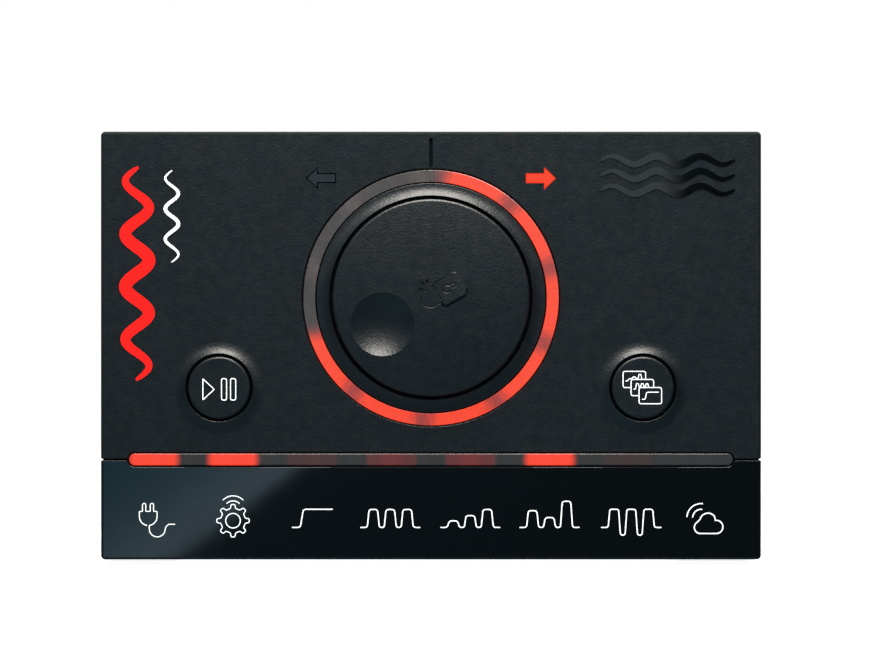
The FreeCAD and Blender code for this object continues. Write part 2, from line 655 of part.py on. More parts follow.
def encoder_shaft():
    shank = d_shaft(3.0, (-31.0, -26.6))
    journal = rod(0, 0, 3.0, (-26.6, -25.4))
    collar = rod(0, 0, 3.3, (-25.4, -24.9))
    tail = rod(0, 0, 1.5, (-24.9, -24.2))
    return turn_about_dial(fuse_all([shank, journal, collar, tail]), KNOB_REST_ANGLE)


def encoder_plunger():
    disc = rod(0, 0, 2.6, (-24.15, -23.3))
    return disc.makeFillet(0.2, edges_on_plane(disc, -23.3))


def encoder_body():
    half = 6.2
    body = rounded_plate((-half, half), (-half, half), 0.6, (ENCODER_FRONT_Y, BOARD_Y))
    body = cut_all(body, [rod(0, 0, 3.05, (ENCODER_FRONT_Y - 1, -25.0)), rod(0, 0, 3.45, (-25.5, -22.4))])
    ears = [box((side * 7.2 - 1.0, side * 7.2 + 1.0), (-23.2, BOARD_Y), (-1.0, 1.0)) for side in (-1, 1)]
    return fuse_all([body] + ears)


def encoder_legs():
    """Solder legs: three for the encoder, two for its push switch."""
    y = (BOARD_BACK_Y, BOARD_BACK_Y + 0.9)
    return [rod(x, z, 0.4, y) for x, z in ((-2.5, -7.5), (0, -7.5), (2.5, -7.5), (-2.5, 7.0), (2.5, 7.0))]


# ---------------------------------------------------------------- buttons


def button_cap(side):
    """A hollow cap with a flange that keeps it in its hole and a stem that works the switch."""
    front_y = FACE_Y - BUTTON_RISE - 0.2
    flange_y = PLATE_Y + 0.1
    fillet = 0.4
    part = fillet * (1 - math.sqrt(0.5))
    inner = BUTTON_R - 1.2
    under_y = front_y + 1.4
    stem = 1.8
    stem_end = -25.05
    flange_r = 7.1
    edges = [
        line((0, front_y), (BUTTON_R - fillet, front_y)),
        arc((BUTTON_R - fillet, front_y), (BUTTON_R - part, front_y + part), (BUTTON_R, front_y + fillet)),
        line((BUTTON_R, front_y + fillet), (BUTTON_R, flange_y)),
        line((BUTTON_R, flange_y), (flange_r, flange_y)),
        line((flange_r, flange_y), (flange_r, flange_y + 0.8)),
        line((flange_r, flange_y + 0.8), (inner, flange_y + 0.8)),
        line((inner, flange_y + 0.8), (inner, under_y)),
        line((inner, under_y), (stem, under_y)),
        line((stem, under_y), (stem, stem_end)),
        line((stem, stem_end), (0, stem_end)),
        line((0, stem_end), (0, front_y)),
    ]
    return turned(edges, side * BUTTON_X, BUTTON_Z)


def switch_body(side):
    x = side * BUTTON_X
    half = 3.1
    body = rounded_plate((x - half, x + half), (BUTTON_Z - half, BUTTON_Z + half), 0.4, (-24.0, BOARD_Y))
    return body.cut(rod(x, BUTTON_Z, 1.75, (-25.0, -22.3)))


def switch_plunger(side):
    return rod(side * BUTTON_X, BUTTON_Z, 1.65, (-25.0, -23.1))


# ---------------------------------------------------------------- lights


def light_ring():
    inner, outer = SLOT_INNER_R + LIGHT_GAP, SLOT_OUTER_R - LIGHT_GAP
    ring = tube(0, 0, inner, outer, (FACE_Y, PLATE_Y))
    ring = ring.makeFillet(0.12, edges_on_plane(ring, FACE_Y))
    return fuse_all([ring, tube(0, 0, inner, 24.6, (PLATE_Y, FLANGE_Y))])


def ring_baffle():
    """Opaque walls between the ring lights, so that each lights its own part of the ring."""
    floor_back = WELL_FLOOR_Y + WELL_FLOOR
    back = BOARD_Y - FIT
    walls = [tube(0, 0, 24.4, 25.2, (FLANGE_Y, back)), tube(0, 0, 19.6, 20.4, (floor_back, back))]
    step = 360 / RING_LIGHTS
    for i in range(RING_LIGHTS):
        low = box((-0.4, 0.4), (floor_back, back), (20.2, 24.6))
        high = box((-0.4, 0.4), (FLANGE_Y, floor_back + 0.2), (21.0, 24.6))
        walls += [turn_about_dial(rib, RING_FIRST_ANGLE + step * (i + 0.5)) for rib in (low, high)]
    return fuse_all(walls)


def led(x, z, degrees):
    """A small light package, turned clockwise by that angle, with a domed window."""
    half_long, half_wide = 1.75, 1.4
    body = box((-half_long, half_long), (-23.7, BOARD_Y), (-half_wide, half_wide))
    window = Part.makeCone(0.9, 1.15, 0.2, Vector(0, -23.9, 0), Vector(0, 1, 0))
    package = fuse_all([body, window])
    package.rotate(Vector(0, 0, 0), Vector(0, 1, 0), degrees)
    package.translate(Vector(x, 0, z))
    return package


def ring_leds():
    middle_r = (SLOT_INNER_R + SLOT_OUTER_R) / 2
    angles = [RING_FIRST_ANGLE + 360 / RING_LIGHTS * i for i in range(RING_LIGHTS)]
    return [led(*on_circle(middle_r, a), a) for a in angles]


def light_bar():
    bar = stadium(BAR_HALF_LENGTH - LIGHT_GAP, BAR_HALF_HEIGHT - LIGHT_GAP, STRIP_Z, (FACE_Y, PLATE_Y))
    bar = bar.makeFillet(0.2, edges_on_plane(bar, FACE_Y))
    flange = stadium(BAR_HALF_LENGTH + 0.9, BAR_HALF_HEIGHT + 1.1, STRIP_Z, (PLATE_Y, FLANGE_Y))
    return fuse_all([bar, flange])


def bar_light_x(i):
    return (i - (BAR_LIGHTS - 1) / 2) * BAR_PITCH


def bar_baffle():
    """A black block with one window for each light of the bar."""
    half_length = 55.2
    half_height = 3.2
    z = (STRIP_Z - half_height, STRIP_Z + half_height)
    block = box((-half_length, half_length), (FLANGE_Y, BOARD_Y - FIT), z)
    through = (FLANGE_Y - 1, BOARD_Y + 1)
    windows = []
    for i in range(BAR_LIGHTS):
        x = (bar_light_x(i) - BAR_WINDOW / 2, min(bar_light_x(i) + BAR_WINDOW / 2, half_length - 0.8))
        windows.append(box(x, through, (STRIP_Z - 2.3, STRIP_Z + 2.3)))
    return cut_all(block, windows)


def bar_leds():
    return [led(bar_light_x(i), STRIP_Z, 0) for i in range(BAR_LIGHTS)]


def arrow_lens(side):
    lens = polygon_prism(arrow_outline(side, ARROW_GAP), (FACE_Y, PLATE_Y + 0.2))
    x = side * ARROW_X
    flange = box((x - 3.4, x + 3.4), (PLATE_Y, PLATE_Y + 0.8), (ARROW_Z - 2.6, ARROW_Z + 2.6))
    return fuse_all([lens, flange])


def arrow_baffles():
    """Two short light tubes behind the arrows."""
    tubes = []
    for side in (-1, 1):
        x = side * ARROW_X
        y = (PLATE_Y + 0.8, BOARD_Y - FIT)
        shell = box((x - 3.4, x + 3.4), y, (ARROW_Z - 2.6, ARROW_Z + 2.6))
        tubes.append(shell.cut(box((x - 2.7, x + 2.7), (y[0] - 1, y[1] + 1), (ARROW_Z - 1.9, ARROW_Z + 1.9))))
    return tubes


def arrow_leds():
    return [led(side * ARROW_X, ARROW_Z, 0) for side in (-1, 1)]


# ---------------------------------------------------------------- main board


def main_board():
    board = rounded_plate((-54.0, 54.0), (-32.8, 25.5), 1.5, (BOARD_Y, BOARD_BACK_Y))
    tools = [rod(x, z, 3.5, (BOARD_Y - 1, BOARD_BACK_Y + 1)) for x, z in CASE_SCREWS]
    tools += [rod(x, z, 1.15, (BOARD_Y - 1, BOARD_BACK_Y + 1)) for x, z in BOARD_SCREWS]
    # open notches: the boss holes run out to the board's edge
    for x, z in CASE_SCREWS:
        side = math.copysign(1, x)
        edge = (x, side * 55) if side > 0 else (side * 55, x)
        tools.append(box(edge, (BOARD_Y - 1, BOARD_BACK_Y + 1), (z - 3.5, z + 3.5)))
    return cut_all(board, tools)


def board_screws():
    return [pan_head_screw(x, z, 1.0, 2.0, BOARD_BACK_Y, 1.5, 5.6) for x, z in BOARD_SCREWS]


def radio_module():
    """Shielded radio module with its bare antenna end upwards."""
    carrier = box((27.5, 43.0), (BOARD_Y - 0.8, BOARD_Y), (0.0, 21.0))
    shield = box((28.4, 42.1), (BOARD_Y - 3.0, BOARD_Y - 0.8), (0.9, 15.0))
    shield = shield.makeFillet(0.4, edges_on_plane(shield, BOARD_Y - 3.0))
    trace_y = (BOARD_Y - 0.9, BOARD_Y - 0.8)
    trace = [box((28.5 + 2.4 * i, 29.0 + 2.4 * i), trace_y, (16.0, 20.2)) for i in range(6)]
    return fuse_all([carrier, shield] + trace)


def control_chips():
    y = BOARD_BACK_Y
    chips = [((-22.0, -12.0), 1.4, (3.0, 13.0)), ((-33.0, -28.0), 1.0, (2.0, 8.0))]
    chips.append(((30.0, 36.0), 1.2, (-6.0, -1.0)))
    return [box(x, (y, y + high), z) for x, high, z in chips]


def link_socket():
    """Socket strip on the back of the main board, with one slot for each row of pins."""
    body = box((-10.6, 10.6), (BOARD_BACK_Y, -15.0), (20.5, 25.0))
    rows = [box((-10.0, 10.0), (-19.4, -14.0), (z - 0.45, z + 0.45)) for z in (21.5, 24.0)]
    return cut_all(body, rows)


def link_pins():
    """Square pins that join the two boards."""
    pins = []
    for z in (21.5, 24.0):
        for i in range(8):
            x = (i - 3.5) * 2.54
            pins.append(box((x - 0.32, x + 0.32), (-18.4, DRIVER_BACK_Y + 1.2), (z - 0.32, z + 0.32)))
    return pins


def link_header():
    body = box((-10.6, 10.6), (-14.5, DRIVER_Y), (20.5, 25.0))
    return cut_all(body, link_pins())


# ---------------------------------------------------------------- driver board


def driver_board():
    board = rounded_plate((-41.0, 41.0), (-15.0, 26.5), 1.5, (DRIVER_Y, DRIVER_BACK_Y))
    tools = [rod(x, z, 1.4, (DRIVER_Y - 1, DRIVER_BACK_Y + 1)) for x, z in DRIVER_SCREWS]
    return cut_all(board, tools + link_pins())


def driver_screws():
    """Screws from the front of the driver board into the posts of the rear case."""
    screws = []
    for x, z in DRIVER_SCREWS:
        screw = pan_head_screw(x, z, 1.25, 2.3, 0.0, 1.6, 7.0)
        screw.rotate(Vector(x, 0, z), Vector(0, 0, 1), 180)
        screw.translate(Vector(0, DRIVER_Y, 0))
        screws.append(screw)
    return screws


def capacitors():
    """Electrolytic capacitors lying on the driver board."""
    cans = []
    for z in (2.0, 10.0):
        can = Part.makeCylinder(3.1, 11.0, Vector(-30.0, DRIVER_Y - 3.2, z), Vector(1, 0, 0))
        groove = Part.makeCylinder(3.5, 0.6, Vector(-21.0, DRIVER_Y - 3.2, z), Vector(1, 0, 0))
        core = Part.makeCylinder(2.8, 0.6, Vector(-21.0, DRIVER_Y - 3.2, z), Vector(1, 0, 0))
        cans.append(can.cut(groove.cut(core)))
    return cans


def inductor():
    coil = rounded_plate((18.0, 28.0), (2.0, 12.0), 1.5, (DRIVER_Y - 5.0, DRIVER_Y))
    return coil.makeChamfer(0.5, edges_on_plane(coil, DRIVER_Y - 5.0))


def power_transistors():
    """Six driver transistors in two rows."""
    y = (DRIVER_Y - 1.1, DRIVER_Y)
    return [box((x, x + 5.0), y, (z, z + 6.0)) for z in (-3.0, 6.0) for x in (-12.0, -3.0, 6.0)]


def lead_plug(x):
    """Plug-in block at the lower edge of the driver board, where the leads of a socket end."""
    return box((x - 5.0, x + 5.0), (DRIVER_Y - 5.0, DRIVER_Y), (-11.0, -4.5))


# ---------------------------------------------------------------- sockets and leads


def bent_lead(points, radius, bend):
    """A round lead along points, with equal arcs at its corners."""
    edges = []
    start = points[0]
    for before, corner, after in zip(points, points[1:], points[2:]):
        back = (before - corner).normalize()
        ahead = (after - corner).normalize()
        half = back.getAngle(ahead) / 2
        setback = bend / math.tan(half)
        a, b = corner + back * setback, corner + ahead * setback
        middle_way = (back + ahead).normalize()
        centre = corner + middle_way * (bend / math.sin(half))
        edges.append(Part.LineSegment(start, a).toShape())
        edges.append(Part.Arc(a, centre - middle_way * bend, b).toShape())
        start = b
    edges.append(Part.LineSegment(start, points[-1]).toShape())
    path = Part.Wire(edges)
    section = Part.Wire([Part.makeCircle(radius, points[0], points[1] - points[0])])
    return path.makePipeShell([section], True, False)


def socket_leads(centre_x, offsets, radius):
    """Leads from the top of a socket, round the lower edge of the driver board, up into their plug."""
    leads = []
    for dx in offsets:
        x = centre_x + dx
        points = [Vector(x, SOCKET_Y, -18.6), Vector(x, SOCKET_Y, -16.8),
                  Vector(x, DRIVER_Y - 2.5, -14.6), Vector(x, DRIVER_Y - 2.5, -11.0)]
        leads.append(bent_lead(points, radius, 0.8))
    return leads


def power_leads():
    return socket_leads(SOCKET_X, (-1.6, 1.6), 0.75)


def pump_leads():
    return socket_leads(-SOCKET_X, (-3.3, -1.1, 1.1, 3.3), 0.6)


def power_inlet():
    """Barrel inlet for the power lead's plug, open downwards."""
    x, y = SOCKET_X, SOCKET_Y
    flange = post(x, y, 5.5, (BAY_TOP_Z - 1.5, BAY_TOP_Z))
    body = fuse_all([flange, post(x, y, 4.0, (BAY_TOP_Z, -19.5))])
    return body.cut(post(x, y, 2.8, (BAY_TOP_Z - 2, BAY_TOP_Z + 9.0)))


def power_inlet_pin():
    pin = post(SOCKET_X, SOCKET_Y, 1.25, (BAY_TOP_Z - 0.2, BAY_TOP_Z + 9.0))
    tip = Part.makeSphere(1.25, Vector(SOCKET_X, SOCKET_Y, BAY_TOP_Z - 0.2))
    return fuse_all([pin, tip])


def power_inlet_nut():
    return hexagon_nut(SOCKET_X, SOCKET_Y, 11.0, 4.02, (CEILING_Z, CEILING_Z + 2.2))


def power_inlet_tabs():
    return [box((SOCKET_X + dx - 0.9, SOCKET_X + dx + 0.9), (SOCKET_Y - 0.2, SOCKET_Y + 0.2), (-19.5, -18.6))
            for dx in (-1.6, 1.6)]


def pump_socket():
    """Round socket shell for the pump's plug, open downwards, with a keyway at the front of its bore."""
    x, y = -SOCKET_X, SOCKET_Y
    shell = fuse_all([post(x, y, 7.0, (BAY_TOP_Z - 1.6, BAY_TOP_Z)), post(x, y, 6.0, (BAY_TOP_Z, -20.0))])
    bore = post(x, y, 4.6, (BAY_TOP_Z - 3, -19.0))
    keyway = box((x - 0.6, x + 0.6), (y - 5.2, y), (BAY_TOP_Z - 3, BAY_TOP_Z + 6.0))
    return cut_all(shell, [bore, keyway])


def contact_places():
    reach = 1.9
    return [(-SOCKET_X + dx, SOCKET_Y + dy) for dx in (-reach, reach) for dy in (-reach, reach)]


def pump_contacts():
    pins = []
    for x, y in contact_places():
        pin = post(x, y, 0.5, (-29.4, -18.9))
        pins.append(fuse_all([pin, Part.makeSphere(0.5, Vector(x, y, -29.4))]))
    return pins


def pump_socket_insert():
    disc = post(-SOCKET_X, SOCKET_Y, 4.58, (-26.0, -20.0))
    return cut_all(disc, [post(x, y, 0.52, (-27, -19)) for x, y in contact_places()])


def pump_socket_nut():
    return hexagon_nut(-SOCKET_X, SOCKET_Y, 14.2, 6.02, (CEILING_Z, CEILING_Z + 2.4))


# ---------------------------------------------------------------- all pieces

PIECES = {
    "wall_bracket": wall_bracket,
    "rear_case": rear_case,
    "rating_label": rating_label,
    "case_seal": case_seal,
    "case_screws": case_screws,
    "front_cover": front_cover,
    "icon_panel": icon_panel,
    "dial_bezel": dial_bezel,
    "dial_knob": dial_knob,
    "encoder_shaft": encoder_shaft,
    "encoder_plunger": encoder_plunger,
    "encoder_body": encoder_body,
    "encoder_legs": encoder_legs,
    "play_button": lambda: button_cap(-1),
    "program_button": lambda: button_cap(1),
    "play_switch": lambda: switch_body(-1),
    "program_switch": lambda: switch_body(1),
    "play_switch_plunger": lambda: switch_plunger(-1),
    "program_switch_plunger": lambda: switch_plunger(1),
    "light_ring": light_ring,
    "ring_baffle": ring_baffle,
    "ring_leds": ring_leds,
    "light_bar": light_bar,
    "bar_baffle": bar_baffle,
    "bar_leds": bar_leds,
    "reverse_arrow_lens": lambda: arrow_lens(-1),
    "forward_arrow_lens": lambda: arrow_lens(1),
    "arrow_baffles": arrow_baffles,
    "arrow_leds": arrow_leds,
    "main_board": main_board,
    "board_screws": board_screws,
    "radio_module": radio_module,
    "control_chips": control_chips,
    "link_socket": link_socket,
    "link_header": link_header,
    "link_pins": link_pins,
    "driver_board": driver_board,
    "driver_screws": driver_screws,
    "capacitors": capacitors,
    "inductor": inductor,
    "power_transistors": power_transistors,
    "power_lead_plug": lambda: lead_plug(SOCKET_X),
    "pump_lead_plug": lambda: lead_plug(-SOCKET_X),
    "power_leads": power_leads,
    "pump_leads": pump_leads,
    "power_inlet": power_inlet,
    "power_inlet_pin": power_inlet_pin,
    "power_inlet_nut": power_inlet_nut,
    "power_inlet_tabs": power_inlet_tabs,
    "pump_socket": pump_socket,
    "pump_socket_insert": pump_socket_insert,
    "pump_contacts": pump_contacts,
    "pump_socket_nut": pump_socket_nut,
}


def solids_of(made):
    shapes = made if isinstance(made, list) else [made]
    return [solid for shape in shapes for solid in shape.Solids]


def main():
    os.makedirs("parts", exist_ok=True)
    for name, make in PIECES.items():
        solids = solids_of(make())
        shape = solids[0] if len(solids) == 1 else Part.makeCompound(solids)
        if not solids or not all(s.isValid() and s.Volume > 0 for s in solids):
            raise RuntimeError(f"{name} is not made of valid solids")
        shape.exportStep(os.path.join("parts", name + ".step"))
        print(f"{name}: {len(solids)} solid(s), {sum(s.Volume for s in solids):.1f} mm3")


main()
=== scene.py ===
import json
import math

import bmesh
import bpy
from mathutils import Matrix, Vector


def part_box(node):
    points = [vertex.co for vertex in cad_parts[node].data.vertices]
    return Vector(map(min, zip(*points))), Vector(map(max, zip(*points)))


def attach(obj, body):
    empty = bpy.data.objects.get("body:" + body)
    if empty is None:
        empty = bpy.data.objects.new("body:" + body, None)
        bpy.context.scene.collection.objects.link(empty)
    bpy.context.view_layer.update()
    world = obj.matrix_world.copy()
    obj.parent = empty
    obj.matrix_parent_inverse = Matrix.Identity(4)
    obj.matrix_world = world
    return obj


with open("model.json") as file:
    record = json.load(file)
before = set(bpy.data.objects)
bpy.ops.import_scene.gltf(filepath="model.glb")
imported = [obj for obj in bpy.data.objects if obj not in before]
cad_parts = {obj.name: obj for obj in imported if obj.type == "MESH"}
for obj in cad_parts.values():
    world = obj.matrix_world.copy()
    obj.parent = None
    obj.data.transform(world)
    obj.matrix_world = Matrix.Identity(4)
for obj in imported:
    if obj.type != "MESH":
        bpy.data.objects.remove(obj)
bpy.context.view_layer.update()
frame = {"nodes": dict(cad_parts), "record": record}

MM = 0.001

# ---------------------------------------------------------------- places, read from the frame


def middle(node):
    low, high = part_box(node)
    return (low + high) / 2


face_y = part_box("icon_panel")[0].y
case_low, case_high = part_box("rear_case")
face_middle = Vector((0, face_y, (case_low.z + case_high.z) / 2))
bar = middle("light_bar")
bar_half_height = bar.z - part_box("light_bar")[0].z
play_at = middle("play_button")
program_at = middle("program_button")
button_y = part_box("play_button")[0].y
label_low, label_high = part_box("rating_label")

# where the printed and raised wave motifs sit on the face, as their middles
RED_MOTIF_X, RED_MOTIF_Z = -53.4 * MM, 4.4 * MM
WHITE_MOTIF_X, WHITE_MOTIF_Z = -47.1 * MM, 14.8 * MM
RELIEF_X, RELIEF_Z = 43.0 * MM, 22.3 * MM

# ---------------------------------------------------------------- shader building blocks


class Nodes:
    """Short-hands for building a node tree."""

    def __init__(self, tree):
        self.tree = tree

    def node(self, kind, inputs=(), **settings):
        made = self.tree.nodes.new(kind)
        for key, value in settings.items():
            setattr(made, key, value)
        for key, value in dict(inputs).items():
            if isinstance(value, bpy.types.NodeSocket):
                self.tree.links.new(value, made.inputs[key])
            else:
                made.inputs[key].default_value = value
        return made

    def math(self, operation, a, b=0.0):
        return self.node("ShaderNodeMath", {0: a, 1: b}, operation=operation).outputs[0]

    def split(self, vector):
        return self.node("ShaderNodeSeparateXYZ", {"Vector": vector}).outputs

    def scaled(self, color, factor):
        return self.node("ShaderNodeVectorMath", {0: color, "Scale": factor}, operation="SCALE").outputs[0]

    def added(self, a, b):
        return self.node("ShaderNodeVectorMath", {0: a, 1: b}, operation="ADD").outputs[0]

    def remap(self, value, low, high, new_low=0.0, new_high=1.0, ease="LINEAR"):
        inputs = {"Value": value, "From Min": low, "From Max": high, "To Min": new_low, "To Max": new_high}
        return self.node("ShaderNodeMapRange", inputs, interpolation_type=ease).outputs[0]

    def noise(self, size, detail=2.0, place=None):
        """Noise from 0 to 1, mostly 0.3 to 0.7, whose features are about that many metres across."""
        inputs = {"Vector": place or self.place, "Scale": 1 / size, "Detail": detail}
        return self.node("ShaderNodeTexNoise", inputs).outputs["Fac"]

    def spread(self, noise, low, high):
        """Noise stretched to run from low to high."""
        return self.remap(noise, 0.3, 0.7, low, high)

    def ramp(self, value, stops, interpolation="LINEAR"):
        made = self.node("ShaderNodeValToRGB", {"Fac": value})
        made.color_ramp.interpolation = interpolation
        elements = made.color_ramp.elements
        while len(elements) < len(stops):
            elements.new(0.5)
        for element, (position, _) in zip(elements, stops):
            element.position = position
        for element, (_, color) in zip(elements, stops):
            element.color = (*color, 1)
        return made.outputs["Color"]


class Shader(Nodes):
    """A node material with a Principled shader and its object coordinates."""

    def __init__(self, name, color, roughness, metallic=0.0, **sockets):
        self.material = bpy.data.materials.new(name)
        self.material.use_nodes = True
        super().__init__(self.material.node_tree)
        self.surface = self.tree.nodes["Principled BSDF"]
        self.surface.inputs["Base Color"].default_value = (*color, 1)
        self.surface.inputs["Roughness"].default_value = roughness
        self.surface.inputs["Metallic"].default_value = metallic
        for socket, value in sockets.items():
            self.surface.inputs[socket.replace("_", " ")].default_value = value
        self.place = self.node("ShaderNodeTexCoord").outputs["Object"]

    def link(self, output, socket):
        self.tree.links.new(output, self.surface.inputs[socket])

    def vary_roughness(self, size, low, high):
        self.link(self.spread(self.noise(size, 4.0), low, high), "Roughness")

    def vary_color(self, size, dark, light):
        self.link(self.ramp(self.noise(size, 3.0), [(0.3, dark), (0.7, light)]), "Base Color")

    def bump(self, height, depth):
        """Adds a height map, scaled so that its range from 0 to 1 is that many metres deep."""
        bump = self.node("ShaderNodeBump", {"Height": height, "Distance": depth, "Strength": 1.0})
        before = self.surface.inputs["Normal"].links
        if before:
            self.tree.links.new(before[0].from_socket, bump.inputs["Normal"])
        self.link(bump.outputs["Normal"], "Normal")

    def grain(self, size, depth):
        """Moulded leather grain: rounded cells parted by creases, warped so that no cell is regular."""
        warp = self.node("ShaderNodeTexNoise", {"Vector": self.place, "Scale": 0.6 / size, "Detail": 1.0})
        shift = self.added(warp.outputs["Color"], (-0.5, -0.5, -0.5))
        place = self.added(self.place, self.scaled(shift, size * 1.6))
        cells = self.node("ShaderNodeTexVoronoi", {"Vector": place, "Scale": 1 / size}, feature="SMOOTH_F1")
        cells.inputs["Smoothness"].default_value = 0.6
        rounded = self.math("SUBTRACT", 1.0, cells.outputs["Distance"])
        fine = self.noise(size * 0.4, 2.0)
        height = self.math("ADD", self.math("MULTIPLY", rounded, 0.8), self.math("MULTIPLY", fine, 0.4))
        self.bump(height, depth)


# ---------------------------------------------------------------- materials

MOULDED_IOR = 1.46
POLISHED_IOR = 1.5
RIM_ROUGHNESS = 0.95
RIM_BEGINS = case_high.z - 0.50 * MM
RIM_ENDS = case_high.z - 0.40 * MM


def shade(color, factor):
    return [channel * factor for channel in color]


def leather_plastic(name, color, roughness, size, depth, matt_rim=False):
    """Moulded leather grain; the cover's rounded top edge is matt, so that it doesn't glint."""
    shader = Shader(name, color, roughness, IOR=MOULDED_IOR)
    shader.vary_color(6 * MM, shade(color, 0.85), shade(color, 1.15))
    rough = shader.spread(shader.noise(1.5 * MM, 4.0), roughness - 0.04, roughness + 0.04)
    if matt_rim:
        height = shader.split(shader.place)["Z"]
        rim = shader.remap(height, RIM_BEGINS, RIM_ENDS)
        rough = shader.math("MAXIMUM", rough, shader.remap(rim, 0.0, 1.0, 0.0, RIM_ROUGHNESS))
    shader.link(rough, "Roughness")
    shader.grain(size, depth)
    return shader.material


def spark_plastic(name, color, roughness):
    """Spark-eroded mould texture: fine, even and without creases."""
    shader = Shader(name, color, roughness, IOR=MOULDED_IOR)
    shader.vary_color(9 * MM, shade(color, 0.8), shade(color, 1.25))
    shader.vary_roughness(2 * MM, roughness - 0.06, roughness + 0.06)
    shader.bump(shader.noise(0.22 * MM, 4.0), 0.022 * MM)
    return shader.material


def gloss_plastic(name, color, roughness=0.02, ripple=0.0006):
    """Polished plastic with a faint haze, and a ripple that many millimetres deep."""
    shader = Shader(name, color, roughness, IOR=POLISHED_IOR)
    haze = shader.noise(9 * MM, 3.0)
    shader.link(shader.remap(haze, 0.35, 0.75, roughness * 0.8, roughness * 1.5), "Roughness")
    shader.bump(shader.noise(7 * MM, 1.0), ripple * MM)
    return shader.material


def sheen_painted_relief_plastic(name, painted_sheen, black):
    """The raised mark's polished plastic, with a painted reflection: lighter grey in its left half and black
    in its right.
    """
    shader = Shader(name, black, 0.08, Specular_IOR_Level=0.12)
    across = shader.split(shader.place)["X"]
    # painted reflection: the base colour is lighter on the left and fades to black on the right
    share = shader.remap(across, RELIEF_X - 2.0 * MM, RELIEF_X + 4.0 * MM, ease="SMOOTHSTEP")
    shader.link(shader.ramp(share, [(0.0, painted_sheen), (1.0, black)]), "Base Color")
    shader.bump(shader.noise(2 * MM, 2.0), 0.004 * MM)
    return shader.material


def moulded_plastic(name, color, roughness=0.5):
    """Plain moulded plastic, for what is inside the case."""
    shader = Shader(name, color, roughness, IOR=MOULDED_IOR)
    shader.vary_color(3 * MM, shade(color, 0.85), shade(color, 1.15))
    shader.bump(shader.noise(0.4 * MM, 3.0), 0.01 * MM)
    return shader.material


def seal_rubber(name, color):
    """Matt rubber with a fine, uneven skin."""
    shader = Shader(name, color, 0.75, IOR=1.52)
    shader.vary_color(1 * MM, shade(color, 0.8), shade(color, 1.3))
    shader.bump(shader.noise(0.3 * MM, 4.0), 0.02 * MM)
    return shader.material


def metal(name, color, roughness, brushed=True):
    """Metal with fine marks, drawn out along Z where it is brushed."""
    shader = Shader(name, color, roughness, metallic=1.0)
    scale = (1, 1, 0.05) if brushed else (1, 1, 1)
    lines = shader.node("ShaderNodeMapping", {"Vector": shader.place, "Scale": scale}).outputs[0]
    marks = shader.noise(0.15 * MM, 5.0, lines)
    shader.link(shader.spread(marks, roughness * 0.7, roughness * 1.4), "Roughness")
    shader.vary_color(1.2 * MM, shade(color, 0.85), color)
    shader.bump(marks, 0.003 * MM)
    return shader.material


def circuit_board(name):
    """Green solder mask, paler where copper tracks lie under it."""
    mask, over_copper = (0.012, 0.075, 0.035), (0.03, 0.14, 0.07)
    shader = Shader(name, mask, 0.32)
    cells = shader.node("ShaderNodeTexVoronoi", {"Vector": shader.place, "Scale": 1 / (2.4 * MM)},
                        feature="F1", distance="MANHATTAN")
    tracks = shader.ramp(cells.outputs["Distance"], [(0.42, mask), (0.46, over_copper)])
    shader.link(tracks, "Base Color")
    shader.bump(cells.outputs["Distance"], 0.02 * MM)
    return shader.material


def led_package(name):
    """A white package with amber resin on its front."""
    package, resin = (0.85, 0.83, 0.78), (0.9, 0.75, 0.35)
    shader = Shader(name, package, 0.35)
    depth = shader.split(shader.place)["Y"]
    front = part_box("ring_leds")[0].y
    behind = shader.remap(depth, front, front + 0.25 * MM)
    shader.link(shader.ramp(behind, [(0.5, resin), (0.9, package)]), "Base Color")
    shader.bump(shader.noise(0.3 * MM), 0.01 * MM)
    return shader.material


def lead_insulation(name):
    """Leads in alternating colours, told apart by where they lie across the case."""
    red, black, pair_pitch = (0.35, 0.01, 0.01), (0.015, 0.015, 0.015), 4.4 * MM
    shader = Shader(name, black, 0.4)
    across = shader.split(shader.place)["X"]
    band = shader.math("FRACT", shader.math("MULTIPLY", across, 1 / pair_pitch))
    shader.link(shader.ramp(band, [(0.0, red), (0.5, black)], "CONSTANT"), "Base Color")
    shader.bump(shader.noise(0.5 * MM), 0.01 * MM)
    return shader.material


def printed_ink(name, color, glow):
    """Ink with a painted glow: it gives out that much light of its own colour, so it keeps its own brightness
    whatever light falls on it.
    """
    shader = Shader(name, color, 0.4, IOR=1.45, Specular_IOR_Level=0.25)
    # painted glow: the ink emits light though it is no lamp
    shader.surface.inputs["Emission Color"].default_value = (*color, 1)
    shader.surface.inputs["Emission Strength"].default_value = glow
    shader.vary_color(0.5 * MM, shade(color, 0.94), color)
    shader.bump(shader.noise(0.12 * MM, 2.0), 0.004 * MM)
    return shader.material


def label_film(name):
    """A blank satin film with a thin printed border."""
    film, ink = (0.45, 0.46, 0.47), (0.03, 0.03, 0.03)
    border_inset, border_half_width = 1.3 * MM, 0.12 * MM
    shader = Shader(name, film, 0.38, metallic=0.4)
    xyz = shader.split(shader.place)
    centre = (label_low + label_high) / 2
    half = (label_high - label_low) / 2
    edges = []
    for axis, at, reach in (("X", centre.x, half.x), ("Z", centre.z, half.z)):
        off = shader.math("ABSOLUTE", shader.math("SUBTRACT", xyz[axis], at))
        edges.append(shader.math("SUBTRACT", reach, off))
    inset = shader.math("MINIMUM", *edges)
    line = shader.math("COMPARE", inset, border_inset)
    line.node.inputs[2].default_value = border_half_width
    shader.link(shader.ramp(line, [(0.4, film), (0.6, ink)]), "Base Color")
    shader.bump(shader.noise(0.2 * MM, 3.0), 0.006 * MM)
    return shader.material


# ---------------------------------------------------------------- lights of the front

GUIDE_SMOKED = (0.040, 0.038, 0.038)
GUIDE_DARK = (0.014, 0.019, 0.024)
GUIDE_REDDISH = (0.014, 0.010, 0.008)
ACRYLIC_IOR = 1.49
NO_LIGHT = (0.0, 0.0, 0.0)
ARROW_RED = (0.925, 0.045, 0.014)

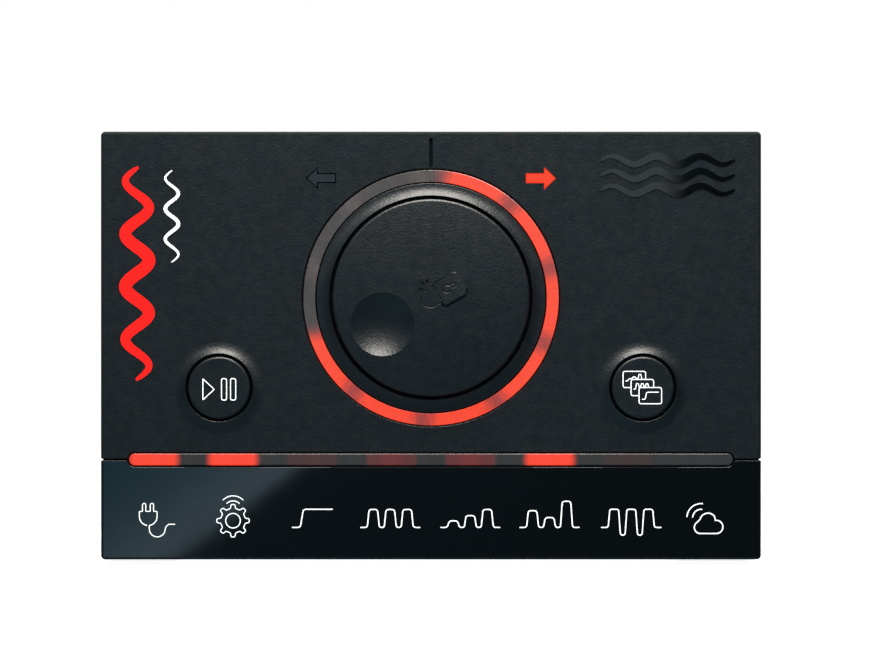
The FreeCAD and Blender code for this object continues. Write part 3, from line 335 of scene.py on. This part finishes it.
RING_RED = (0.93, 0.044, 0.006)
RING_RED_BETWEEN = (0.36, 0.028, 0.022)
# the off lights' grey is a painted glow and their lighter lines a painted sheen, both given out as emission
RING_OFF_PAINTED_GLOW = (0.029, 0.025, 0.025)
RING_PAINTED_SHEEN_LINE = (0.058, 0.046, 0.043)
RING_LIGHTS = 10
RING_LIT = 7

# along the ring, in degrees clockwise from the top
RING_FIRST_EDGE = 3.0
RING_FADE_IN = (0.0, 9.5)
RING_FADE_OUT = (-6.5, 4.0)  # about the last lit light's end
RING_SPOT_AT = 3.8
# where each painted sheen line sits, one to each light
RING_PAINTED_SHEEN_AT = 320.0

BAR_RED = (0.94, 0.034, 0.002)
BAR_WINDOWS = 8
BAR_PITCH = 14.4 * MM
BAR_LIT = (0, 1, 5)
BAR_STRAY = {2: 0.030, 3: 0.085, 4: 0.100, 6: 0.015}  # stray red in the windows whose light is off


def light_guide(name, color, lit):
    """Smoked diffusing plastic, lit in one colour, or by a function that adds its light to the shader."""
    shader = Shader(name, color, 0.3, IOR=ACRYLIC_IOR)
    if callable(lit):
        shader.link(lit(shader), "Emission Color")
        depth = shader.split(shader.place)["Y"]
        front = shader.remap(depth, face_y + 0.05 * MM, face_y + 0.2 * MM, 1.0, 0.0)
        shader.link(front, "Emission Strength")
    else:
        shader.surface.inputs["Emission Color"].default_value = (*lit, 1)
        shader.surface.inputs["Emission Strength"].default_value = 1.0
    shader.vary_color(2 * MM, shade(color, 0.85), color)
    shader.bump(shader.noise(0.5 * MM, 3.0), 0.01 * MM)
    return shader.material


def off_marks(shader, degrees, mark):
    """How many degrees a place on the ring is from the nearest mark, with one mark to each light."""
    step = 360 / RING_LIGHTS
    from_mark = shader.math("MODULO", shader.math("ADD", degrees, 360 - mark + step / 2), step)
    return shader.math("ABSOLUTE", shader.math("SUBTRACT", from_mark, step / 2))


def ring_glow(shader):
    """Seven lights on, clockwise from the top, and the other three off, with a painted grey glow and painted
    sheen lines.
    """
    xyz = shader.split(shader.place)
    turn = shader.math("MULTIPLY", shader.math("ARCTAN2", xyz["X"], xyz["Z"]), 360 / math.tau)
    degrees = shader.math("MODULO", shader.math("ADD", turn, 360), 360)
    last_edge = RING_FIRST_EDGE + 360 / RING_LIGHTS * RING_LIT
    fade_start, fade_end = (last_edge + offset for offset in RING_FADE_OUT)
    begun = shader.remap(degrees, *RING_FADE_IN, ease="SMOOTHSTEP")
    ended = shader.remap(degrees, fade_start, fade_end, 1.0, 0.0, ease="SMOOTHSTEP")
    on = shader.math("MULTIPLY", begun, ended)

    # streaks across the guide, which show most where little light falls
    squares = [shader.math("POWER", xyz[axis], 2) for axis in ("X", "Z")]
    radius = shader.math("SQRT", shader.math("ADD", *squares))
    round_it = shader.math("MULTIPLY", degrees, 0.55)
    across = shader.math("MULTIPLY", radius, 0.5 / MM)
    strand = shader.node("ShaderNodeCombineXYZ", {"X": round_it, "Y": across}).outputs[0]
    streaks = shader.noise(1.0, 3.0, strand)

    # on: red, with a dim spot of uneven outline at the start of each light
    off_spot = shader.math("ADD", off_marks(shader, degrees, RING_SPOT_AT), shader.spread(streaks, -1.2, 1.2))
    bright = shader.remap(off_spot, 0.5, 8.5, ease="SMOOTHSTEP")
    lit = shader.ramp(bright, [(0.0, RING_RED_BETWEEN), (1.0, RING_RED)])
    lit = shader.scaled(lit, shader.spread(streaks, 0.93, 1.04))

    # off: a painted grey glow, with a lighter painted sheen line at each light, both given out as emission
    # though these lights are off
    off_sheen_line = off_marks(shader, degrees, RING_PAINTED_SHEEN_AT)
    painted_sheen = shader.remap(off_sheen_line, 0.0, 9.0, 1.0, 0.0, ease="SMOOTHSTEP")
    off_painted_glow = shader.ramp(painted_sheen, [(0.0, RING_OFF_PAINTED_GLOW), (1.0, RING_PAINTED_SHEEN_LINE)])
    off_painted_glow = shader.scaled(off_painted_glow, shader.spread(streaks, 0.7, 1.3))
    mixed = shader.node("ShaderNodeMix", {0: on, 6: off_painted_glow, 7: lit}, data_type="RGBA")
    return mixed.outputs[2]


def bar_windows(shader, share, colors):
    """The bar's windows from left to right, each in its own colour."""
    return shader.ramp(share, [(i / BAR_WINDOWS, color) for i, color in enumerate(colors)], "CONSTANT")


def bar_glow(shader):
    """Eight windows: three with their light on, four with a little stray red, and one dark."""
    xyz = shader.split(shader.place)
    left_end = bar.x - BAR_PITCH * BAR_WINDOWS / 2
    along = shader.math("DIVIDE", shader.math("SUBTRACT", xyz["X"], left_end), BAR_PITCH)
    off_centre = shader.math("ABSOLUTE", shader.math("SUBTRACT", shader.math("FRACT", along), 0.5))
    height = shader.math("DIVIDE", shader.math("SUBTRACT", xyz["Z"], bar.z), bar_half_height)
    bulge = shader.math("MULTIPLY", shader.math("POWER", height, 2), 0.9 * MM)
    reach = shader.math("ADD", shader.math("MULTIPLY", off_centre, BAR_PITCH), bulge)
    share = shader.math("DIVIDE", along, BAR_WINDOWS)
    bright = bar_windows(shader, share, [BAR_RED if i in BAR_LIT else NO_LIGHT for i in range(BAR_WINDOWS)])
    dim = bar_windows(shader, share, [(BAR_STRAY.get(i, 0.0), 0.0, 0.0) for i in range(BAR_WINDOWS)])
    wide = shader.remap(reach, 3.5 * MM, 5.3 * MM, 1.0, 0.0, ease="SMOOTHSTEP")
    narrow = shader.remap(reach, 4.2 * MM, 4.9 * MM, 1.0, 0.0, ease="SMOOTHSTEP")
    stronger = shader.remap(reach, 0.0, 3.2 * MM, 1.35, 0.85, ease="SMOOTHSTEP")
    dim = shader.scaled(dim, shader.math("MULTIPLY", narrow, stronger))
    return shader.added(shader.scaled(bright, wide), dim)


# ---------------------------------------------------------------- which node gets which material

COVER = (0.0020, 0.0046, 0.0066)
PIANO_BLACK = (0.0022, 0.0030, 0.0036)
# the raised mark's lighter grey tone is a painted reflection on its left half
RELIEF_PAINTED_SHEEN = (0.023, 0.026, 0.027)
RELIEF_BLACK = (0.0005, 0.0005, 0.0005)

slot_materials = {
    "cover_plastic": leather_plastic("cover_grain", COVER, 0.42, 0.42 * MM, 0.034 * MM, matt_rim=True),
    "knob_plastic": leather_plastic("knob_grain", COVER, 0.42, 0.42 * MM, 0.042 * MM),
    "button_plastic": leather_plastic("button_grain", COVER, 0.42, 0.40 * MM, 0.02 * MM),
    "strip_plastic": gloss_plastic("strip_gloss", PIANO_BLACK),
    "rear_plastic": spark_plastic("rear_spark", (0.014, 0.016, 0.018), 0.55),
    "bracket_plastic": spark_plastic("bracket_spark", (0.022, 0.024, 0.026), 0.6),
    "baffle_plastic": moulded_plastic("baffle_black", (0.01, 0.01, 0.01), 0.6),
    "switch_plastic": moulded_plastic("switch_black", (0.025, 0.025, 0.025)),
    "insert_plastic": moulded_plastic("insert_grey", (0.05, 0.05, 0.052)),
    "connector_plastic": gloss_plastic("connector_black", (0.012, 0.012, 0.013), 0.2, 0.004),
    "chip_epoxy": moulded_plastic("chip_epoxy", (0.02, 0.02, 0.02), 0.6),
    "ferrite": moulded_plastic("ferrite", (0.06, 0.06, 0.065), 0.65),
    "seal_rubber": seal_rubber("seal_rubber", (0.03, 0.03, 0.03)),
    "lead_insulation": lead_insulation("lead_insulation"),
    "label_film": label_film("label_film"),
    "circuit_board": circuit_board("circuit_board"),
    "led_package": led_package("led_package"),
    "steel": metal("zinc_steel", (0.55, 0.55, 0.56), 0.3),
    "nickel": metal("nickel_plate", (0.62, 0.61, 0.58), 0.22, brushed=False),
    "contact_metal": metal("gold_plate", (0.85, 0.62, 0.28), 0.2, brushed=False),
    "aluminium_can": metal("aluminium_can", (0.72, 0.73, 0.74), 0.35),
    # both inks carry a painted glow
    "white_ink": printed_ink("white_ink", (0.86, 0.88, 0.88), glow=0.75),
    "red_ink": printed_ink("red_ink", (0.80, 0.008, 0.006), glow=0.88),
    # the raised mark's lighter left half is a painted reflection
    "gloss_relief": sheen_painted_relief_plastic("relief_gloss_painted_sheen", RELIEF_PAINTED_SHEEN, RELIEF_BLACK),
}

node_materials = {
    "light_ring": light_guide("ring_guide", GUIDE_SMOKED, ring_glow),
    "light_bar": light_guide("bar_guide", GUIDE_SMOKED, bar_glow),
    "forward_arrow_lens": light_guide("arrow_lit", GUIDE_REDDISH, ARROW_RED),
    "reverse_arrow_lens": light_guide("arrow_off", GUIDE_DARK, NO_LIGHT),
}


def give(piece, material):
    piece.data.materials.clear()
    piece.data.materials.append(material)


for part in frame["record"]["subparts"]:
    name = part["node"]
    give(frame["nodes"][name], node_materials.get(name) or slot_materials[part["material_slot"]])

# ---------------------------------------------------------------- flat strokes

ARC_STEP = math.radians(12)
SHARPEST_LEAN = 0.5  # keeps a mitre from growing past twice the stroke's width
SAME_POINT = 1e-6


def arc(x, z, radius, start, end):
    """Points along an arc; angles in degrees, clockwise from the top."""
    count = max(3, round(abs(math.radians(end - start)) / ARC_STEP) + 1)
    angles = [math.radians(start + (end - start) * i / (count - 1)) for i in range(count)]
    return [(x + radius * math.sin(a), z + radius * math.cos(a)) for a in angles]


def eased(points, radius, closed=False):
    """The same path with each corner rounded, from about that far before it to as far after it."""
    count = len(points)
    made = []
    for i, corner in enumerate(points):
        if not closed and i in (0, count - 1):
            made.append(corner)
            continue
        here = Vector(corner)
        back, ahead = Vector(points[i - 1]) - here, Vector(points[(i + 1) % count]) - here
        reach = min(radius, back.length / 2, ahead.length / 2)
        start, end = here + back.normalized() * reach, here + ahead.normalized() * reach
        for share in (0, 0.25, 0.5, 0.75, 1):
            made.append(tuple(start.lerp(here, share).lerp(here.lerp(end, share), share)))
    distinct = [p for i, p in enumerate(made) if i == 0 or math.dist(p, made[i - 1]) > SAME_POINT]
    if closed and math.dist(distinct[0], distinct[-1]) < SAME_POINT:
        distinct.pop()
    return distinct


def offset_sides(points, half, closed):
    """The two sides of a stroke, mitred at its corners; half its width may be a function of 0 to 1."""
    path = [Vector(p) for p in points]
    count = len(path)
    sides = []
    for i, here in enumerate(path):
        before = path[i - 1] if closed or i > 0 else None
        after = path[(i + 1) % count] if closed or i < count - 1 else None
        into = (here - before).normalized() if before is not None else (after - here).normalized()
        out = (after - here).normalized() if after is not None else into
        across = Vector((-into.y - out.y, into.x + out.x)).normalized()
        lean = max(SHARPEST_LEAN, across.dot(Vector((-into.y, into.x))))
        width = half(i / max(1, count - 1)) if callable(half) else half
        sides.append((here + across * width / lean, here - across * width / lean))
    return sides


def add_stroke(mesh, points, half, front_y, back_y, closed=False):
    """Adds a flat closed band along the points, from back_y forward to front_y."""
    rings = []
    for left, right in offset_sides(points, half, closed):
        rings.append([mesh.verts.new((p.x, y, p.y)) for p, y in
                      ((left, front_y), (right, front_y), (right, back_y), (left, back_y))])
    pairs = list(zip(rings, rings[1:])) + ([(rings[-1], rings[0])] if closed else [])
    for a, b in pairs:
        for k in range(4):
            mesh.faces.new((a[k], a[(k + 1) % 4], b[(k + 1) % 4], b[k]))
    if not closed:
        for ring, tip, inner in ((rings[0], points[0], points[1]), (rings[-1], points[-1], points[-2])):
            add_round_end(mesh, ring, (Vector(tip) - Vector(inner)).normalized())


def add_round_end(mesh, ring, way):
    """Closes a stroke at one end with a half-disc that bulges that way."""
    a, b, b_back, a_back = ring
    centre = (a.co + b.co) / 2
    radius = (a.co - b.co).length / 2
    across = (a.co - b.co).normalized()
    ahead = Vector((way.x, 0, way.y))
    depth = a_back.co - a.co
    steps = 5
    front, back = [a], [a_back]
    for k in range(1, steps):
        angle = math.pi * k / steps
        place = centre + radius * (math.cos(angle) * across + math.sin(angle) * ahead)
        front.append(mesh.verts.new(place))
        back.append(mesh.verts.new(place + depth))
    front.append(b)
    back.append(b_back)
    mesh.faces.new(front)
    mesh.faces.new(list(reversed(back)))
    for k in range(steps):
        mesh.faces.new((front[k], back[k], back[k + 1], front[k + 1]))


INK_HEIGHT = 0.03 * MM
RELIEF_HEIGHT = 0.12 * MM
STROKE_SINK = 0.02 * MM  # how far a stroke's back is sunk into the surface that it lies on


def stroke_piece(name, strokes, width, at, body, slot, height=INK_HEIGHT):
    """One piece of flat strokes, each a path and whether it is closed, in millimetres about its place."""
    mesh = bmesh.new()
    for points, closed in strokes:
        moved = [(at.x + x * MM, at.z + z * MM) for x, z in points]
        half = (lambda t: width(t) / 2 * MM) if callable(width) else width / 2 * MM
        add_stroke(mesh, moved, half, at.y - height, at.y + STROKE_SINK, closed)
    bmesh.ops.recalc_face_normals(mesh, faces=mesh.faces)
    data = bpy.data.meshes.new(name)
    mesh.to_mesh(data)
    mesh.free()
    piece = bpy.data.objects.new(name, data)
    bpy.context.scene.collection.objects.link(piece)
    give(piece, slot_materials[slot])
    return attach(piece, body)


# ---------------------------------------------------------------- icons

# line widths and heights of the icons, in millimetres
STRIP_LINE = 0.215
FINE_LINE = 0.175
BUTTON_LINE = 0.172
WAVE_BASE = -1.65
WAVE_TOP = 1.65
FULL_PULSE = 3.27
ICON_ROW_BELOW_BAR = 10.7 * MM
icon_z = bar.z - ICON_ROW_BELOW_BAR


def face_place(x, z):
    return Vector((x, face_y, z))


def pulse_icon(heights):
    """A train of round-shouldered pulses about x = 0, each of its own height above the base."""
    pitch, half_top, lean, lead = 3.08, 0.775, 0.32, 1.18
    half_foot = half_top + lean
    middles = [pitch * (i - (len(heights) - 1) / 2) for i in range(len(heights))]
    points = [(middles[0] - half_foot - lead, WAVE_BASE)]
    for centre, height in zip(middles, heights):
        top = WAVE_BASE + height
        points += [(centre - half_foot, WAVE_BASE), (centre - half_top, top)]
        points += [(centre + half_top, top), (centre + half_foot, WAVE_BASE)]
    points.append((middles[-1] + half_foot + lead, WAVE_BASE))
    return [(eased(points, 0.5), False)]


def plug_icon():
    """A mains plug in one line: round body, two prongs open to it, and a looped cord."""
    middle_x, half, shoulder, waist = -1.39, 1.61, 1.27, 0.32
    prong_half, prong_top = 0.3, 2.42
    loop_x, loop_z, loop_r = 0.25, -1.92, 1.45
    loop_right = loop_x + loop_r
    cord_end_x, cord_end_z = 3.45, -1.08
    outline = arc(middle_x, waist, half, 189, 270) + [(middle_x - half, shoulder)]
    for x in (middle_x - 0.75, middle_x + 0.67):
        outline.append((x - prong_half, shoulder))
        outline += arc(x, prong_top, prong_half, -90, 90)
        outline.append((x + prong_half, shoulder))
    outline.append((middle_x + half, shoulder))
    outline += arc(middle_x, waist, half, 90, 173)
    outline += reversed(arc(loop_x, loop_z, loop_r, 90, 270))
    outline += [(loop_right + 0.12, loop_z + 0.4), (loop_right + 0.62, cord_end_z), (cord_end_x, cord_end_z)]
    return [(eased(outline, 0.16), False)]


def gear_icon():
    """A gear with a round hub, and two waves of radio over it."""
    teeth, tip, root, hub_r, hub_z = 8, 2.97, 2.25, 1.33, -0.42
    flank = [(6.8, tip), (11.0, root + 0.1), (15.5, root)]  # degrees from the tooth's middle, and radius
    tooth = [(-offset, radius) for offset, radius in reversed(flank)] + flank
    outline = []
    for i in range(teeth):
        for offset, radius in tooth:
            angle = math.radians(360 / teeth * i + offset)
            outline.append((radius * math.sin(angle), hub_z + radius * math.cos(angle)))
    hub = arc(0, hub_z, hub_r, 0, 348)
    waves = [arc(0, 1.5, radius, -reach, reach) for radius, reach in ((1.68, 42), (2.6, 44))]
    return [(eased(outline, 0.22, True), True), (hub, True)] + [(wave, False) for wave in waves]


def constant_icon():
    """A step up to a steady flow."""
    points = [(-3.7, WAVE_BASE), (-2.3, WAVE_BASE), (-1.75, WAVE_TOP), (3.5, WAVE_TOP)]
    return [(eased(points, 0.5), False)]


def reversing_icon():
    """Three pulses with a dip below the base between each two."""
    pitch, half_top, lean, lead = 3.1, 0.8, 0.3, 1.2
    dip_z = WAVE_BASE - 1.4
    half_dip = pitch / 2 - half_top - lean * 1.1
    half_foot = half_top + lean
    points = [(-pitch - half_foot - lead, WAVE_BASE), (-pitch - half_foot, WAVE_BASE)]
    for centre in (-pitch, 0, pitch):
        points += [(centre - half_top, WAVE_TOP), (centre + half_top, WAVE_TOP)]
        if centre < pitch:
            dip_x = centre + pitch / 2
            points += [(dip_x - half_dip, dip_z), (dip_x + half_dip, dip_z)]
    points += [(pitch + half_foot, WAVE_BASE), (pitch + half_foot + lead, WAVE_BASE)]
    return [(eased(points, 0.42), False)]


def cloud_icon():
    """A cloud with two waves of radio beside it."""
    left = arc(-1.15, -1.65, 1.1, 180, 318)
    top = arc(0.25, -0.55, 1.5, 285, 412)
    right = arc(1.75, -1.55, 1.2, 352, 540)
    waves = [arc(-1.0, 0.1, radius, -85, 5) for radius in (1.55, 2.6)]
    return [(left + top + right, True)] + [(wave, False) for wave in waves]


# each icon's middle across the strip in millimetres, its strokes and its line width
strip_icons = {
    "icon_power": (-50.0, plug_icon(), FINE_LINE),
    "icon_setup": (-35.98, gear_icon(), FINE_LINE),
    "icon_constant_flow": (-21.45, constant_icon(), STRIP_LINE),
    "icon_regular_waves": (-7.4, pulse_icon([FULL_PULSE] * 3), STRIP_LINE),
    "icon_step_waves": (7.15, pulse_icon([1.2, 2.15, FULL_PULSE]), STRIP_LINE),
    "icon_random_waves": (21.55, pulse_icon([3.05, 1.8, 4.75]), STRIP_LINE),
    "icon_reversing_waves": (36.4, reversing_icon(), STRIP_LINE),
    "icon_cloud_link": (50.1, cloud_icon(), STRIP_LINE),
}
for name, (x, strokes, width) in strip_icons.items():
    stroke_piece(name, strokes, width, face_place(x * MM, icon_z), "case", "white_ink")


def rounded_box(x, z, radius):
    return eased([(x[0], z[0]), (x[1], z[0]), (x[1], z[1]), (x[0], z[1])], radius, True)


def play_icon():
    """A triangle and two upright bars."""
    low, high = -2.24, 1.66
    triangle = eased([(-2.92, 1.62), (-2.92, -2.2), (-0.86, -0.29)], 0.15, True)
    bars = [rounded_box(sides, (low, high), 0.35) for sides in ((0.46, 1.38), (2.1, 3.04))]
    return [(outline, True) for outline in (triangle, *bars)]


def programs_icon():
    """Three stacked cards with a small wave each; those behind show what the ones in front leave free."""
    wide, high, step_x, step_z, corner, gap = 4.1, 2.95, 1.45, -1.47, 0.4, 0.2
    places = [(-3.62 + i * step_x, 0.03 + i * step_z) for i in range(3)]
    strokes = []
    for x, z in places[:2]:
        free = [(x + step_x - gap, z), (x, z), (x, z + high), (x + wide, z + high)]
        free.append((x + wide, z + high + step_z + gap))
        strokes.append((eased(free, corner), False))
    x, z = places[2]
    strokes.append((rounded_box((x, x + wide), (z, z + high), corner), True))

    # the waves, measured from each card's lower left corner
    steps = [(0.5, 1.2), (0.85, 1.2), (1.05, 1.6), (1.6, 1.6), (1.85, 1.95), (2.2, 1.95), (2.42, 1.55),
             (2.72, 1.55), (2.88, 2.4), (3.25, 2.4), (3.4, 1.6)]
    regular = [(0.5, 1.2), (0.82, 1.2), (0.98, 2.2), (1.32, 2.2), (1.5, 1.5), (1.72, 1.5), (1.88, 2.2),
               (2.22, 2.2), (2.38, 1.5), (2.6, 1.5), (2.74, 2.2), (3.06, 2.2), (3.2, 1.5)]
    constant = [(0.6, 0.8), (1.12, 0.8), (1.38, 2.1), (3.5, 2.1)]
    for (x, z), wave, radius in zip(places, (steps, regular, constant), (0.2, 0.16, 0.3)):
        strokes.append((eased([(x + along, z + up) for along, up in wave], radius), False))
    return strokes


button_icons = (
    ("icon_play_pause", play_icon(), play_at, "play_key"),
    ("icon_programs", programs_icon(), program_at, "program_key"),
)
for name, strokes, at, body in button_icons:
    stroke_piece(name, strokes, BUTTON_LINE, Vector((at.x, button_y, at.z)), body, "white_ink")

# ---------------------------------------------------------------- plain wave motifs on the cover


POINTS_PER_WAVE = 24


def wave_line(length, swing, waves):
    """A sine line, drawn along x and centred."""
    count = waves * POINTS_PER_WAVE
    turns = [i / count for i in range(count + 1)]
    return [(length * (turn - 0.5), swing * math.sin(math.tau * waves * turn)) for turn in turns]


def upright(points):
    """The same line drawn along z."""
    return [(z, x) for x, z in points]


def tapered(width):
    """A stroke that is thin at its ends and full in its middle."""
    return lambda t: width * (0.25 + 0.75 * math.sin(math.pi * t) ** 0.6)


red_wave = [(upright(wave_line(38.4, 2.15, 4)), False)]
red_at = face_place(RED_MOTIF_X, RED_MOTIF_Z)
stroke_piece("motif_red_wave", red_wave, tapered(2.3), red_at, "case", "red_ink")

white_wave = [(upright(wave_line(16.6, 1.2, 3)), False)]
white_at = face_place(WHITE_MOTIF_X, WHITE_MOTIF_Z)
stroke_piece("motif_white_wave", white_wave, tapered(0.65), white_at, "case", "white_ink")

RELIEF_ROW_PITCH = 2.7
relief_rows = []
for row in (-1, 0, 1):
    line = [(x, z + row * RELIEF_ROW_PITCH) for x, z in wave_line(24.2, 0.75, 3)]
    relief_rows.append((line, False))
relief_at = face_place(RELIEF_X, RELIEF_Z)
stroke_piece("relief_waves", relief_rows, tapered(1.35), relief_at, "case", "gloss_relief", RELIEF_HEIGHT)

# ---------------------------------------------------------------- floor, light and camera

WHITE = (1, 1, 1, 1)

# the big card's lower edge, and how far up its light reaches, in the plane one metre in front of the object
CARD_SLOPE = 0.735
CARD_OFFSET = -0.00586
CARD_REACH = 0.06
CARD_FADE_BELOW = CARD_REACH / 10
CARD_BRIGHTNESS = 1.6

CAMERA_DISTANCE = 1.1433
CAMERA_LENS = 260.0
CAMERA_OFF_MIDDLE = (0.82 * MM, 2.38 * MM)

SOFTBOX_AT = Vector((4 * MM, face_y - 87 * MM, 204 * MM))
SOFTBOX_AIM = SOFTBOX_AT + Vector((0, -0.0001, -1))  # a hair off straight down, which settles its roll
SOFTBOX_SIZE = (0.162, 0.21)
SOFTBOX_COLOR = (1.0, 0.94, 0.87)
SOFTBOX_RADIANCE = 20.0
BACK_CARD_AT = Vector((0.25, 0.75, 0.45))
BACK_CARD_AIM = Vector((0, 0, 0))
BACK_CARD_SIZE = (0.5, 0.5)
BACK_CARD_COLOR = (1.0, 0.97, 0.94)
BACK_CARD_RADIANCE = 6.0


def pale_floor():
    """A wide white floor just under the object, to be looked at from above only."""
    half = 30.0
    below = 1.0 * MM
    data = bpy.data.meshes.new("floor")
    corners = [(-half, -half), (half, -half), (half, half), (-half, half)]
    data.from_pydata([(x, y, case_low.z - below) for x, y in corners], [], [(0, 1, 2, 3)])
    floor = bpy.data.objects.new("floor", data)
    bpy.context.scene.collection.objects.link(floor)
    shader = Shader("pale_floor", (0.8, 0.8, 0.8), 0.9)
    shader.surface.inputs["Emission Color"].default_value = WHITE
    shader.surface.inputs["Emission Strength"].default_value = 0.95
    from_below = shader.node("ShaderNodeNewGeometry").outputs["Backfacing"]
    shader.link(shader.math("SUBTRACT", 1.0, from_below), "Alpha")
    give(floor, shader.material)
    floor.visible_glossy = False
    floor.visible_diffuse = False
    floor.visible_shadow = False


def studio():
    """A white sweep to look at, and a dim blue-grey room with one big card to be reflected."""
    world = bpy.data.worlds.new("studio")
    bpy.context.scene.world = world
    world.use_nodes = True
    sky = Nodes(world.node_tree)
    sky.tree.nodes.clear()
    xyz = sky.split(sky.node("ShaderNodeTexCoord").outputs["Generated"])
    total = big_card(sky, xyz)
    for light in (room(sky, xyz), floor_bounce(sky, xyz), ceiling(sky, xyz)):
        total = sky.added(total, light)
    lit = sky.node("ShaderNodeBackground", {"Color": total, "Strength": 1.0}).outputs[0]
    seen = sky.node("ShaderNodeBackground", {"Color": WHITE, "Strength": 1.0}).outputs[0]
    straight = sky.node("ShaderNodeLightPath").outputs["Is Camera Ray"]
    mixed = sky.node("ShaderNodeMixShader", {0: straight, 1: lit, 2: seen}).outputs[0]
    sky.node("ShaderNodeOutputWorld", {"Surface": mixed})


def across_ahead(sky, xyz, axis):
    """Where a direction meets the plane one metre in front of the object, along X or Z."""
    ahead = sky.math("MAXIMUM", sky.math("MULTIPLY", xyz["Y"], -1), 0.001)
    return sky.math("DIVIDE", xyz[axis], ahead)


def big_card(sky, xyz):
    """A card in front whose brightness falls off with the distance from its slanted lower edge."""
    edge_height = sky.math("MULTIPLY", across_ahead(sky, xyz, "X"), CARD_SLOPE)
    over_edge = sky.math("SUBTRACT", across_ahead(sky, xyz, "Z"), edge_height)
    inside = sky.math("DIVIDE", sky.math("SUBTRACT", over_edge, CARD_OFFSET), math.hypot(1, CARD_SLOPE))
    share = sky.remap(inside, -CARD_FADE_BELOW, CARD_REACH)
    edge = CARD_FADE_BELOW / (CARD_FADE_BELOW + CARD_REACH)
    stops = [(edge - 0.012, NO_LIGHT), (edge + 0.02, (0.50, 0.70, 0.84)), (0.16, (0.42, 0.64, 0.78)),
             (0.24, (0.22, 0.42, 0.54)), (0.36, (0.11, 0.29, 0.39)), (0.6, (0.05, 0.15, 0.21)),
             (1.0, NO_LIGHT)]
    return sky.scaled(sky.ramp(share, stops), CARD_BRIGHTNESS)


def room(sky, xyz):
    """Dim walls, brightest at the sides and a little brighter on the left than on the right."""
    stops = [(0.0, (0.040, 0.075, 0.100)), (0.1, (0.11, 0.165, 0.21)), (0.6, (0.11, 0.16, 0.20)),
             (0.8, (0.02, 0.025, 0.03))]
    walls = sky.ramp(sky.remap(xyz["Y"], -1.0, 0.6), stops)
    across = across_ahead(sky, xyz, "X")
    return sky.scaled(walls, sky.remap(across, -0.06, 0.06, 1.12, 0.62, ease="SMOOTHSTEP"))


def floor_bounce(sky, xyz):
    """Light from under the front, as from the pale floor."""
    below = sky.remap(xyz["Z"], 0.0, -0.6, ease="SMOOTHSTEP")
    return sky.scaled(sky.scaled((0.14, 0.24, 0.27), below), sky.remap(xyz["Y"], 0.3, 0.0))


def ceiling(sky, xyz):
    """Light from over the front."""
    above = sky.remap(xyz["Z"], 0.04, 0.42, ease="SMOOTHSTEP")
    return sky.scaled(sky.scaled((0.30, 0.29, 0.27), above), sky.remap(xyz["Y"], -0.3, -0.7))


def card_light(name, at, aim, size, color, radiance):
    """A rectangular light whose face has that radiance."""
    light = bpy.data.lights.new(name, "AREA")
    light.shape = "RECTANGLE"
    light.size, light.size_y = size
    light.color = color
    light.energy = radiance * math.pi * size[0] * size[1]
    lamp = bpy.data.objects.new(name, light)
    bpy.context.scene.collection.objects.link(lamp)
    lamp.location = at
    lamp.visible_camera = False
    lamp.rotation_mode = "QUATERNION"
    lamp.rotation_quaternion = (aim - at).to_track_quat("-Z", "Y")


def front_camera():
    """Straight on, level, far enough away that the sides don't show."""
    data = bpy.data.cameras.new("front_camera")
    data.lens = CAMERA_LENS
    data.clip_end = 200
    camera = bpy.data.objects.new("front_camera", data)
    bpy.context.scene.collection.objects.link(camera)
    off_x, off_z = CAMERA_OFF_MIDDLE
    camera.location = face_middle + Vector((off_x, -CAMERA_DISTANCE, off_z))
    camera.rotation_euler = (math.radians(90), 0, 0)
    bpy.context.scene.camera = camera


pale_floor()
studio()
front_camera()
card_light("overhead_softbox", SOFTBOX_AT, SOFTBOX_AIM, SOFTBOX_SIZE, SOFTBOX_COLOR, SOFTBOX_RADIANCE)
card_light("back_card", BACK_CARD_AT, BACK_CARD_AIM, BACK_CARD_SIZE, BACK_CARD_COLOR, BACK_CARD_RADIANCE)

view = bpy.context.scene.view_settings
view.view_transform = "Standard"
view.look = "None"
